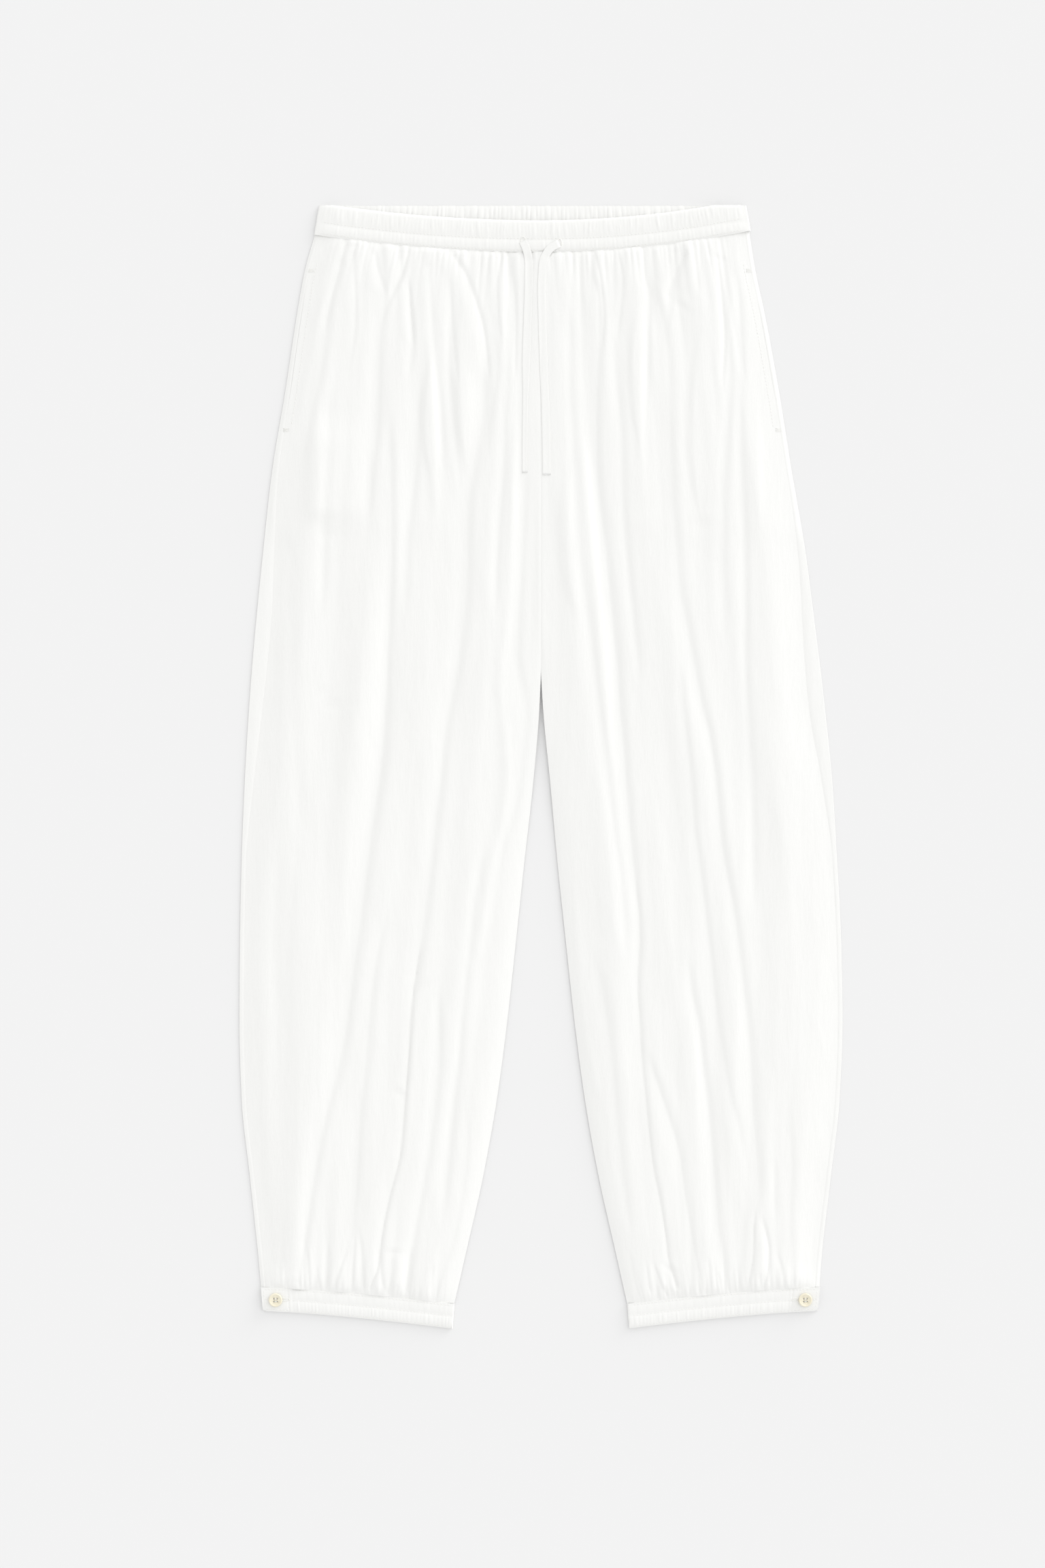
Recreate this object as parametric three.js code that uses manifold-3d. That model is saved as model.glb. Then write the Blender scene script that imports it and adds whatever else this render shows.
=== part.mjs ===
// Balloon pants in light cotton, laid flat with the front up. Millimetres, +Z up, waist towards +Y.
// Left and right are those of the picture. The back panels lie on z = 0 and the front panels lie on them.
import * as THREE from 'three';
import { mergeVertices } from 'three/addons/utils/BufferGeometryUtils.js';
import Module from 'manifold-3d';

const wasm = await Module();
wasm.setup();

// Walls and clearances
const panelWall = 1.5;
const bandWall = 2.0;
const cuffWall = 1.6;
const bagWall = 1.0;
const seamGap = 0.3;
const edgeRadius = 2.75;      // the back panel turns up and over at the side with this outer radius
const fullLoft = 3.7;         // most air between front and back panel
const seamLoft = 2 * edgeRadius - 2 * panelWall;

// Waist
const waistLeft = -192.4;
const waistRight = 178;
const waistTop = 486.4;
const bandHeight = 27.3;
const frontSeamY = 446;       // waist seam at centre front
const backSeamY = 459;        // waist seam across the back
const sideRiseLeft = 15;      // how far the seam has risen at each side
const sideRiseRight = 18.5;
const straightReach = 0.803;  // the back seam is straight this far out from the middle
const bandRadius = bandWall + seamGap / 2 + 0.1;   // outside of the turn at each side
const bandFace = 2 * bandRadius;
const frontRibs = 64;
const backRibs = 56;
const ribHeight = 0.5;
// Outer face of the front band from seam to top: drawstring channel, stitch line, elastic channel
const bandProfile = [
  { at: 0, puff: 0.2, rib: 0.6 },
  { at: 0.4, puff: -0.3, rib: 0.4 },
  { at: 0.7, puff: 0.4, rib: 1 },
  { at: 1, puff: 0, rib: 0.6 },
];

// Cuffs
const cuffHeight = 20.6;
const cuffRibs = 24;
const tabWidth = 26;
const cuffRibHeight = 0.45;
const cuffCurve = 1.4;        // the cuff seam drops faster towards the inseam
const cuffs = {
  left: { side: -1, outer: 242.7, inner: 74.8, outerY: -450.6, innerY: -465.2, lean: 3.2 },
  right: { side: 1, outer: 241.9, inner: 74.7, outerY: -450.6, innerY: -464.9, lean: 3.4 },
};

// Half widths of each leg down its length: outline, side seam inside it, inseam
const sections = [
  { y: 462, left: 195.8, right: 180.9, stripLeft: 4.0, stripRight: 4.0, inLeft: 0.15, inRight: 0.15 },
  { y: 430, left: 204.7, right: 186.0, stripLeft: 4.0, stripRight: 4.0, inLeft: 0.15, inRight: 0.15 },
  { y: 393, left: 211.4, right: 194.0, stripLeft: 4.2, stripRight: 4.0, inLeft: 0.15, inRight: 0.15 },
  { y: 325, left: 221.7, right: 206.5, stripLeft: 4.6, stripRight: 4.4, inLeft: 0.15, inRight: 0.15 },
  { y: 257, left: 233.0, right: 217.4, stripLeft: 6.0, stripRight: 4.6, inLeft: 0.15, inRight: 0.15 },
  { y: 189, left: 240.7, right: 229.0, stripLeft: 9.8, stripRight: 6.6, inLeft: 0.15, inRight: 0.15 },
  { y: 121, left: 247.5, right: 237.8, stripLeft: 13.6, stripRight: 11.0, inLeft: 0.15, inRight: 0.15 },
  { y: 88, left: 250.4, right: 242.0, stripLeft: 13.4, stripRight: 13.2, inLeft: 0.15, inRight: 0.15 },
  { y: 53, left: 253.0, right: 246.0, stripLeft: 12.0, stripRight: 14.0, inLeft: 1.4, inRight: 1.9 },
  { y: -15, left: 257.0, right: 252.8, stripLeft: 8.0, stripRight: 9.0, inLeft: 7.0, inRight: 8.4 },
  { y: -83, left: 259.6, right: 256.9, stripLeft: 4.0, stripRight: 4.0, inLeft: 14.6, inRight: 14.6 },
  { y: -151, left: 261.0, right: 260.3, stripLeft: 4.0, stripRight: 4.0, inLeft: 21.8, inRight: 21.8 },
  { y: -219, left: 261.5, right: 261.5, stripLeft: 4.0, stripRight: 4.0, inLeft: 29.2, inRight: 29.2 },
  { y: -287, left: 259.6, right: 259.0, stripLeft: 4.0, stripRight: 4.0, inLeft: 38.2, inRight: 38.2 },
  { y: -355, left: 252.4, right: 251.4, stripLeft: 4.0, stripRight: 4.0, inLeft: 50.3, inRight: 50.3 },
  { y: -423, left: 245.2, right: 243.6, stripLeft: 4.0, stripRight: 4.0, inLeft: 65.6, inRight: 65.6 },
  { y: -466, left: 241.4, right: 240.6, stripLeft: 4.0, stripRight: 4.0, inLeft: 75.4, inRight: 75.2 },
];

// Largest folds of the front panels, each a trough through three places
const folds = [
  { leg: 'left', x: [-137, -139, -141], y: [452, 370, 288], width: 7, depth: 2.2 },
  { leg: 'left', x: [-130, -129, -146], y: [300, 146, -61], width: 8, depth: 2.6 },
  { leg: 'left', x: [-146, -168, -207], y: [-50, -238, -446], width: 10, depth: 3.0 },
  { leg: 'left', x: [-77, -62, -45], y: [452, 411, 358], width: 6, depth: 2.4 },
  { leg: 'left', x: [-46, -62, -80], y: [366, 205, 35], width: 10, depth: 3.0 },
  { leg: 'left', x: [-79, -106, -116], y: [45, -179, -296], width: 8, depth: 3.0 },
  { leg: 'left', x: [-116, -126, -143], y: [-288, -365, -448], width: 7, depth: 3.0 },
  { leg: 'left', x: [-92, -91, -82], y: [452, 358, 250], width: 6, depth: 1.6 },
  { leg: 'left', x: [-158, -184, -206], y: [450, 370, 262], width: 7, depth: 1.8 },
  { leg: 'left', x: [-30, -29, -36], y: [440, 330, 190], width: 6, depth: 1.6 },
  { leg: 'left', x: [-102, -108, -116], y: [360, 230, 110], width: 7, depth: 1.6 },
  { leg: 'left', x: [-131, -148, -160], y: [-130, -220, -390], width: 7, depth: 1.8 },
  { leg: 'left', x: [-88, -89, -115], y: [-190, -260, -444], width: 7, depth: 2.0 },
  { leg: 'left', x: [-40, -62, -84], y: [-50, -165, -400], width: 8, depth: 1.8 },
  { leg: 'left', x: [-215, -215, -209], y: [200, 110, 0], width: 9, depth: 1.4 },
  { leg: 'right', x: [50, 50, 65], y: [448, 287, 116], width: 7, depth: 2.8 },
  { leg: 'right', x: [65, 77, 84], y: [124, -15, -190], width: 8, depth: 2.8 },
  { leg: 'right', x: [84, 91, 116], y: [-184, -285, -442], width: 7, depth: 3.0 },
  { leg: 'right', x: [98, 124, 141], y: [-262, -344, -446], width: 8, depth: 2.6 },
  { leg: 'right', x: [88, 94, 92], y: [452, 400, 310], width: 6, depth: 2.0 },
  { leg: 'right', x: [113, 117, 134], y: [344, 199, 94], width: 7, depth: 2.8 },
  { leg: 'right', x: [133, 155, 171], y: [102, -25, -143], width: 9, depth: 2.6 },
  { leg: 'right', x: [171, 183, 189], y: [-137, -255, -395], width: 8, depth: 3.0 },
  { leg: 'right', x: [160, 164, 159], y: [440, 311, 118], width: 7, depth: 1.8 },
  { leg: 'right', x: [172, 177, 185], y: [420, 205, -100], width: 6, depth: 1.8 },
  { leg: 'right', x: [25, 32, 50], y: [410, 217, 69], width: 7, depth: 1.8 },
  { leg: 'right', x: [50, 63, 77], y: [74, -37, -160], width: 7, depth: 1.6 },
  { leg: 'right', x: [129, 146, 163], y: [-170, -290, -448], width: 7, depth: 2.2 },
  { leg: 'right', x: [123, 139, 176], y: [90, -85, -330], width: 6, depth: 1.4 },
  { leg: 'right', x: [46, 60, 80], y: [-160, -256, -410], width: 8, depth: 1.8 },
];

// Gathers run from the waist seam and the cuffs into the panels
const waistGathers = 29;      // on each front panel
const cuffGathers = 19;
const gatherHeight = 0.9;
const waistGatherLength = 60;
const cuffGatherLength = 34;

// Rows of a panel, measured along it from the waist seam, and points across a front panel
const panelRows = [
  { from: 0, to: 48, rows: 4, across: 2 * waistGathers },
  { from: 80, to: 848, rows: 17, across: 26 },
  { from: 880, to: 912, rows: 3, across: 2 * cuffGathers },
];
const panelLength = 912;

// Pockets: the opening in the side seam and the bag behind it
const pocketTop = 432;
const pocketBottom = 290;
const pocketMouth = 2.2;
const bagTop = 440;
const bagBottom = 211;
const bagReach = 150;         // from the side seam towards the middle
const bagCorner = 30;
const bagMargin = 14;         // the front panel is lifted this far beyond the bag's inner edge
const bagFoot = 36;           // and this far below it

// Buttons
const button = { radius: 5.85, thick: 2.2, rim: 1.1, dish: 0.5, hole: 0.75, holeSpread: 1.5, fromEdge: 13 };

// Drawstring: two free ends of a flat tie, width by thickness
const tieWidth = 7;
const tieThick = 1.2;
const tieLift = 0.4;
const tieRoutes = {
  left: { steps: 15, x: [-15.5, -12.2, -10.8, -10.6, -11.4, -12.6, -13.4, -13.9, -14],
    y: [455, 447, 440, 424, 392, 356, 320, 285, 254.5] },
  right: { steps: 16, x: [16, 9, 3.2, 1, 1.2, 2.4, 3.8, 4.7, 5],
    y: [453, 449.4, 441, 424, 388, 350, 312, 280, 252.5] },
};

const cotton = { color: 0xf9f9f7, roughness: 0.92, metalness: 0 };
const tape = { color: 0xf6f6f3, roughness: 0.88, metalness: 0 };
const horn = { color: 0xe9e1c9, roughness: 0.38, metalness: 0 };

const pants = new THREE.Group();

function smooth(edge0, edge1, value) {
  return THREE.MathUtils.smoothstep(value, Math.min(edge0, edge1), Math.max(edge0, edge1));
}

// Slope of a named column between two rows of the sections table
function sectionSlope(column, row) {
  const upper = sections[THREE.MathUtils.clamp(row, 0, sections.length - 2)];
  const lower = sections[THREE.MathUtils.clamp(row + 1, 1, sections.length - 1)];
  return (lower[column] - upper[column]) / (upper.y - lower.y);
}

// Slope at a row that never overshoots its neighbours
function easedSlope(column, row) {
  const before = sectionSlope(column, row - 1);
  const after = sectionSlope(column, row);
  return before * after > 0 ? 2 * before * after / (before + after) : 0;
}

// Value of a named column of the sections table at y, eased between its rows
function sectionAt(column, y) {
  let row = 0;
  while (row < sections.length - 2 && y < sections[row + 1].y) row += 1;
  const upper = sections[row];
  const lower = sections[row + 1];
  const span = upper.y - lower.y;
  const s = THREE.MathUtils.clamp((upper.y - y) / span, 0, 1);
  return (2 * s ** 3 - 3 * s ** 2 + 1) * upper[column]
    + (s ** 3 - 2 * s ** 2 + s) * span * easedSlope(column, row)
    + (3 * s ** 2 - 2 * s ** 3) * lower[column]
    + (s ** 3 - s ** 2) * span * easedSlope(column, row + 1);
}

// Waist seam at the front and at the back, where x is signed
function frontSeam(x) {
  const reach = Math.min(x < 0 ? x / waistLeft : x / waistRight, 1);
  return frontSeamY + (x < 0 ? sideRiseLeft : sideRiseRight) * reach * reach;
}

function backSeam(x) {
  const reach = Math.min(x < 0 ? x / waistLeft : x / waistRight, 1);
  const sideY = frontSeamY + (x < 0 ? sideRiseLeft : sideRiseRight);
  const rise = Math.max(reach - straightReach, 0) / (1 - straightReach);
  return backSeamY + (sideY - backSeamY) * rise;
}

function bandTop(x) {
  return Math.min(frontSeam(x) + bandHeight, waistTop);
}

// Cuff seam, where x is signed
function cuffSeam(leg, x) {
  const cuff = cuffs[leg];
  const share = THREE.MathUtils.clamp((cuff.outer - Math.abs(x)) / (cuff.outer - cuff.inner), 0, 1);
  return cuff.outerY + (cuff.innerY - cuff.outerY) * share ** cuffCurve;
}

// Depth of the largest folds at a place
function foldDepth(leg, x, y) {
  let depth = 0;
  for (const fold of folds) {
    if (fold.leg !== leg) continue;
    const [y0, y1, y2] = fold.y;
    if (y > y0 || y < y2) continue;
    const [x0, x1, x2] = fold.x;
    const centre = x0 * (y - y1) * (y - y2) / ((y0 - y1) * (y0 - y2))
      + x1 * (y - y0) * (y - y2) / ((y1 - y0) * (y1 - y2))
      + x2 * (y - y0) * (y - y1) / ((y2 - y0) * (y2 - y1));
    const fade = 40;
    const ends = smooth(0, fade, y0 - y) * smooth(0, fade, y - y2);
    const across = (x - centre) / fold.width;
    depth = Math.max(depth, fold.depth * ends * Math.exp(-across * across));
  }
  return depth;
}

// How much of the pocket bag lies under a place, from 0 to 1
function bagUnder(leg, x, y) {
  const side = cuffs[leg].side;
  const inside = sectionAt(leg, y) - x * side;
  const ease = 26;
  return smooth(bagBottom - bagFoot - ease, bagBottom - bagFoot, y)
    * (1 - smooth(bagReach + bagMargin, bagReach + bagMargin + ease, inside));
}

// Underside of a front panel: z above the back panel's upper face, without gathers
function loft(leg, x, y) {
  const side = cuffs[leg].side;
  const strip = leg === 'left' ? 'stripLeft' : 'stripRight';
  const inner = leg === 'left' ? 'inLeft' : 'inRight';
  const fromInner = x * side - sectionAt(inner, y);
  const fromSide = sectionAt(leg, y) - sectionAt(strip, y) - x * side;
  const crotch = smooth(60, 130, y);
  const innerLoft = THREE.MathUtils.lerp(seamGap, 1.5, crotch);
  const waist = smooth(0, 70, frontSeam(x) - y);
  const cuff = smooth(0, 60, y - cuffSeam(leg, x));
  const middle = THREE.MathUtils.lerp(0.9, fullLoft, Math.min(waist, cuff)) - foldDepth(leg, x, y);
  const bag = bagUnder(leg, x, y) * (bagWall + seamGap);
  const rise = Math.max(middle, seamGap + bag);
  const innerShare = 1 - Math.exp(-fromInner / 9);
  const sideShare = 1 - Math.exp(-fromSide / 7);
  return THREE.MathUtils.lerp(seamLoft, THREE.MathUtils.lerp(innerLoft, rise, innerShare), sideShare);
}

// Zigzag of the gathers by the point's number in its row, fading away from the seam
function gather(leg, column, columns, x, y) {
  const fromWaist = frontSeam(x) - y;
  const fromCuff = y - cuffSeam(leg, x);
  const uneven = 0.75 + 0.25 * Math.sin(column * 2.4);
  if (column === 0 || column === columns || column % 2 === 0) return 0;
  if (fromWaist < waistGatherLength) return gatherHeight * uneven * (1 - fromWaist / waistGatherLength);
  if (fromCuff < cuffGatherLength) return gatherHeight * uneven * (1 - fromCuff / cuffGatherLength);
  return 0;
}

// Closed mesh from rows of wall points, each with an upper and an under place
function wallMesh(rows) {
  const positions = [];
  const faces = [];
  for (const row of rows) {
    for (const point of row) {
      point.upperIndex = positions.length / 3;
      positions.push(...point.upper);
      point.underIndex = positions.length / 3;
      positions.push(...point.under);
    }
  }
  const addFace = (a, b, c) => faces.push(a, b, c);
  const addStrip = (first, second) => {
    addFace(first.upperIndex, second.upperIndex, first.underIndex);
    addFace(second.upperIndex, second.underIndex, first.underIndex);
  };
  for (let index = 0; index + 1 < rows.length; index += 1) {
    const above = rows[index];
    const below = rows[index + 1];
    let a = 0;
    let b = 0;
    while (a + 1 < above.length || b + 1 < below.length) {
      const nextAbove = a + 1 < above.length ? (a + 1) / (above.length - 1) : Infinity;
      const nextBelow = b + 1 < below.length ? (b + 1) / (below.length - 1) : Infinity;
      const useAbove = nextAbove <= nextBelow;
      const third = useAbove ? above[a + 1] : below[b + 1];
      addFace(above[a].upperIndex, below[b].upperIndex, third.upperIndex);
      addFace(below[b].underIndex, above[a].underIndex, third.underIndex);
      if (useAbove) a += 1;
      else b += 1;
    }
    addStrip(below[0], above[0]);
    addStrip(above[above.length - 1], below[below.length - 1]);
  }
  const top = rows[0];
  for (let a = 0; a + 1 < top.length; a += 1) addStrip(top[a], top[a + 1]);
  const bottom = rows[rows.length - 1];
  for (let b = 0; b + 1 < bottom.length; b += 1) addStrip(bottom[b + 1], bottom[b]);
  return closedGeometry(positions, faces);
}

// Closed mesh from sections of equal length set one after another, as a ring or with end caps
function sweptMesh(loops, isRing) {
  const positions = loops.flat().flat();
  const size = loops[0].length;
  const faces = [];
  const spans = isRing ? loops.length : loops.length - 1;
  for (let span = 0; span < spans; span += 1) {
    const start = span * size;
    const next = ((span + 1) % loops.length) * size;
    for (let point = 0; point < size; point += 1) {
      const after = (point + 1) % size;
      faces.push(start + point, next + point, start + after);
      faces.push(start + after, next + point, next + after);
    }
  }
  if (!isRing) {
    const last = (loops.length - 1) * size;
    for (let point = 1; point + 1 < size; point += 1) {
      faces.push(0, point, point + 1);
      faces.push(last, last + point + 1, last + point);
    }
  }
  return closedGeometry(positions, faces);
}

// Geometry with its faces turned outwards
function closedGeometry(positions, faces) {
  let volume = 0;
  const corner = (index) => new THREE.Vector3().fromArray(positions, index * 3);
  for (let face = 0; face < faces.length; face += 3) {
    const [a, b, c] = [corner(faces[face]), corner(faces[face + 1]), corner(faces[face + 2])];
    volume += a.dot(b.cross(c));
  }
  if (volume < 0) faces.reverse();
  const geometry = new THREE.BufferGeometry();
  geometry.setAttribute('position', new THREE.Float32BufferAttribute(positions, 3));
  geometry.setIndex(faces);
  geometry.computeVertexNormals();
  return geometry;
}

function addPiece(name, geometry, finish) {
  const mesh = new THREE.Mesh(geometry, new THREE.MeshStandardMaterial(finish));
  mesh.name = name;
  pants.add(mesh);
  return mesh;
}

// One row of wall points for each row station of a panel
function eachRow(makeRow) {
  return panelRows.flatMap((zone) => Array.from({ length: zone.rows }, (_, step) => makeRow({
    along: THREE.MathUtils.lerp(zone.from, zone.to, step / (zone.rows - 1)) / panelLength,
    across: zone.across,
  })));
}

// Place on a panel where x follows from y across the leg, and y from x between waist seam and cuff seam
function settle(leg, along, waistSeam, reachAt) {
  let y = THREE.MathUtils.lerp(waistSeam(0), cuffs[leg].outerY, along);
  let x = 0;
  for (let turn = 0; turn < 4; turn += 1) {
    x = cuffs[leg].side * reachAt(y);
    y = THREE.MathUtils.lerp(waistSeam(x) - seamGap, cuffSeam(leg, x) + seamGap, along);
  }
  return { x, y };
}

function frontPanel(leg) {
  const side = cuffs[leg].side;
  const strip = leg === 'left' ? 'stripLeft' : 'stripRight';
  const inner = leg === 'left' ? 'inLeft' : 'inRight';
  const rows = eachRow(({ along, across }) => {
    const row = [];
    for (let column = 0; column <= across; column += 1) {
      const share = column / across;
      const { x, y } = settle(leg, along, frontSeam, (guessY) => {
        const mouth = pocketMouth * smooth(pocketBottom, pocketBottom + 50, guessY)
          * (1 - smooth(pocketTop - 50, pocketTop, guessY));
        const seam = sectionAt(leg, guessY) - sectionAt(strip, guessY) - seamGap - mouth;
        return THREE.MathUtils.lerp(sectionAt(inner, guessY), seam, share);
      });
      const z = panelWall + loft(leg, x, y);
      row.push({
        upper: [x, y, z + panelWall + gather(leg, column, across, x, y)],
        under: [x, y, z],
      });
    }
    return row;
  });
  return wallMesh(rows);
}

function backPanel(leg) {
  const side = cuffs[leg].side;
  const strip = leg === 'left' ? 'stripLeft' : 'stripRight';
  const inner = leg === 'left' ? 'inLeft' : 'inRight';
  const flatColumns = 5;
  const turnColumns = 4;
  const middleRadius = edgeRadius - panelWall / 2;
  const rows = eachRow(({ along }) => {
    const row = [];
    const addPoint = (reach, z, normalX, normalZ, y) => {
      const half = panelWall / 2;
      row.push({
        upper: [side * (reach - normalX * half), y, z - normalZ * half],
        under: [side * (reach + normalX * half), y, z + normalZ * half],
      });
    };
    const edgeY = settle(leg, along, backSeam, (guessY) => sectionAt(leg, guessY)).y;
    const outline = sectionAt(leg, edgeY);
    const centre = outline - edgeRadius;
    for (let column = 0; column < flatColumns; column += 1) {
      const { x, y } = settle(leg, along, backSeam, (guessY) => {
        const turnStart = sectionAt(leg, guessY) - edgeRadius;
        return THREE.MathUtils.lerp(sectionAt(inner, guessY), turnStart, column / flatColumns);
      });
      addPoint(Math.abs(x), panelWall / 2, 0, -1, y);
    }
    for (let turn = 0; turn <= turnColumns; turn += 1) {
      const angle = Math.PI * (turn / turnColumns - 0.5);
      const [normalX, normalZ] = [Math.cos(angle), Math.sin(angle)];
      addPoint(centre + middleRadius * normalX, edgeRadius + middleRadius * normalZ, normalX, normalZ, edgeY);
    }
    const seam = outline - sectionAt(strip, edgeY);
    addPoint(seam, 2 * edgeRadius - panelWall / 2, 0, 1, edgeY);
    return row;
  });
  return wallMesh(rows);
}

// Flat bag of two layers of pocketing in the side seam, its lower inner corner cut round
function pocketBag(leg) {
  const side = cuffs[leg].side;
  const rowCount = 9;
  const columnCount = 3;
  const bottomZ = panelWall + seamGap;
  const edgeInset = edgeRadius + 2.5;
  const rows = [];
  for (let step = 0; step <= rowCount; step += 1) {
    const y = THREE.MathUtils.lerp(bagTop, bagBottom, step / rowCount);
    const outer = sectionAt(leg, y) - edgeInset;
    const intoCorner = Math.max(0, bagBottom + bagCorner - y);
    const cut = bagCorner - Math.sqrt(Math.max(bagCorner ** 2 - intoCorner ** 2, 0));
    const innerX = sectionAt(leg, y) - bagReach + cut;
    const row = [];
    for (let column = 0; column <= columnCount; column += 1) {
      const x = side * THREE.MathUtils.lerp(innerX, outer, column / columnCount);
      row.push({ upper: [x, y, bottomZ + bagWall], under: [x, y, bottomZ] });
    }
    rows.push(row);
  }
  return wallMesh(rows);
}

// One ring of cloth: back half on the ground, turned up at the sides, front half over it
function waistband() {
  const innerRadius = bandRadius - bandWall;
  const innerRib = 0.3;
  const endSteps = 4;
  const loops = [];
  const addLoop = ({ bottom, top, outer, inner, puff = 0, outerRib = 0 }) => {
    const face = bandProfile.map((line) => [
      outer.x,
      THREE.MathUtils.lerp(bottom, top, line.at),
      outer.z + puff * line.puff + outerRib * line.rib,
    ]);
    loops.push([...face, [inner.x, top, inner.z + (inner.rib ?? 0)], [inner.x, bottom, inner.z]]);
  };
  const leftCentre = waistLeft + bandRadius;
  const rightCentre = waistRight - bandRadius;
  const backColumns = 2 * backRibs;
  for (let column = 0; column <= backColumns; column += 1) {
    const x = THREE.MathUtils.lerp(leftCentre, rightCentre, column / backColumns);
    const rib = column % 2 ? innerRib : 0;
    const inner = { x, z: bandRadius - innerRadius, rib };
    addLoop({ bottom: backSeam(x), top: waistTop, outer: { x, z: 0 }, inner });
  }
  const addEnd = (centre, side) => {
    for (let step = 1; step < endSteps; step += 1) {
      const angle = Math.PI * (step / endSteps - 0.5) * side;
      const outer = { x: centre + side * bandRadius * Math.cos(angle), z: bandRadius * (1 + Math.sin(angle)) };
      const inner = { x: centre + side * innerRadius * Math.cos(angle),
        z: bandRadius + innerRadius * Math.sin(angle) };
      addLoop({ bottom: frontSeam(outer.x), top: waistTop, outer, inner });
    }
  };
  addEnd(rightCentre, 1);
  const frontColumns = 2 * frontRibs;
  for (let column = 0; column <= frontColumns; column += 1) {
    const x = THREE.MathUtils.lerp(rightCentre, leftCentre, column / frontColumns);
    const inner = { x, z: bandRadius + innerRadius };
    const outerRib = column % 2 ? ribHeight : 0;
    addLoop({ bottom: frontSeam(x), top: bandTop(x), outer: { x, z: bandFace }, inner, puff: 1, outerRib });
  }
  addEnd(leftCentre, -1);
  return sweptMesh(loops, true);
}

// One strip round the leg: from the tab end over the front, round the inseam edge and back underneath
function cuffStrip(leg) {
  const cuff = cuffs[leg];
  const frontUnder = cuffWall + seamGap;
  const foldRadius = (2 * cuffWall + seamGap) / 2;
  const innerRadius = seamGap / 2;
  const foldCentre = cuff.inner + foldRadius;
  const frontColumns = 2 * cuffRibs;
  const backColumns = 8;
  const foldSteps = 4;
  const cornerCut = 2.2;
  const loops = [];
  const addLoop = (outerReach, innerReach, outerZ, innerZ, rib, cut) => {
    const top = cuffSeam(leg, outerReach);
    const share = THREE.MathUtils.clamp((cuff.outer - outerReach) / (cuff.outer - cuff.inner), 0, 1);
    const height = cuffHeight + 0.7 * share;
    const lean = (share - 0.5) * 2 * cuff.lean / 2;
    const place = (reach, down, z) => [cuff.side * (reach + lean * down), top - down * height + cut * down, z];
    loops.push([
      place(outerReach, 1, outerZ + rib),
      place(outerReach, 0.5, outerZ + rib * 0.2),
      place(outerReach, 0, outerZ),
      place(innerReach, 0, innerZ),
      place(innerReach, 1, innerZ),
    ]);
  };
  for (let column = 0; column <= frontColumns; column += 1) {
    const reach = THREE.MathUtils.lerp(cuff.outer, foldCentre, column / frontColumns);
    const fromTab = cuff.outer - reach;
    const rib = column % 2 && fromTab > tabWidth ? cuffRibHeight : 0;
    const cut = cornerCut * (1 - smooth(0, 4, fromTab));
    addLoop(reach, reach, frontUnder + cuffWall, frontUnder, rib, cut);
  }
  for (let step = 1; step < foldSteps; step += 1) {
    const angle = Math.PI * (0.5 - step / foldSteps);
    const outerReach = foldCentre - foldRadius * Math.cos(angle);
    const innerReach = foldCentre - innerRadius * Math.cos(angle);
    const outerZ = foldRadius + foldRadius * Math.sin(angle);
    const innerZ = foldRadius + innerRadius * Math.sin(angle);
    addLoop(outerReach, innerReach, outerZ, innerZ, 0, 0);
  }
  for (let column = 0; column <= backColumns; column += 1) {
    const reach = THREE.MathUtils.lerp(foldCentre, cuff.outer, column / backColumns);
    addLoop(reach, reach, 0, cuffWall, 0, 0);
  }
  return sweptMesh(loops, false);
}

// Four-hole button with a raised rim, holes cut through
function buttonGeometry() {
  const { radius, thick, rim, dish } = button;
  const profile = [
    [0, 0], [radius - 0.9, 0], [radius, 0.8], [radius, thick - 0.4], [radius - 0.4, thick],
    [radius - rim, thick], [radius - rim - 0.5, thick - dish], [0, thick - dish],
  ];
  const lathe = new THREE.LatheGeometry(profile.map(([r, z]) => new THREE.Vector2(r, z)), 18);
  lathe.rotateX(Math.PI / 2);
  let solid = asManifold(lathe);
  for (const [alongX, alongY] of [[1, 0], [0, 1], [-1, 0], [0, -1]]) {
    const hole = new THREE.CylinderGeometry(button.hole, button.hole, 3 * thick, 8);
    hole.rotateX(Math.PI / 2);
    hole.translate(alongX * button.holeSpread, alongY * button.holeSpread, 0);
    solid = solid.subtract(asManifold(hole));
  }
  return fromManifold(solid);
}

function asManifold(geometry) {
  const bare = geometry.clone();
  bare.deleteAttribute('normal');
  bare.deleteAttribute('uv');
  const merged = mergeVertices(bare, 1e-4);
  return new wasm.Manifold(new wasm.Mesh({
    numProp: 3,
    vertProperties: new Float32Array(merged.attributes.position.array),
    triVerts: new Uint32Array(merged.index.array),
  }));
}

function fromManifold(solid) {
  const mesh = solid.getMesh();
  const geometry = new THREE.BufferGeometry();
  geometry.setAttribute('position', new THREE.BufferAttribute(mesh.vertProperties, 3));
  geometry.setIndex(new THREE.BufferAttribute(mesh.triVerts, 1));
  geometry.computeVertexNormals();
  return geometry;
}

// Upper face of the front, for what lies on it
function topOfFront(x, y) {
  const leg = x < 0 ? 'left' : 'right';
  const nearWaist = gatherHeight * THREE.MathUtils.clamp(1 - (frontSeam(x) - y) / waistGatherLength, 0, 1);
  const panelTop = 2 * panelWall + loft(leg, x, y) + nearWaist;
  return THREE.MathUtils.lerp(panelTop, bandFace + ribHeight, smooth(-12, -2, y - frontSeam(x)));
}

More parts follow.
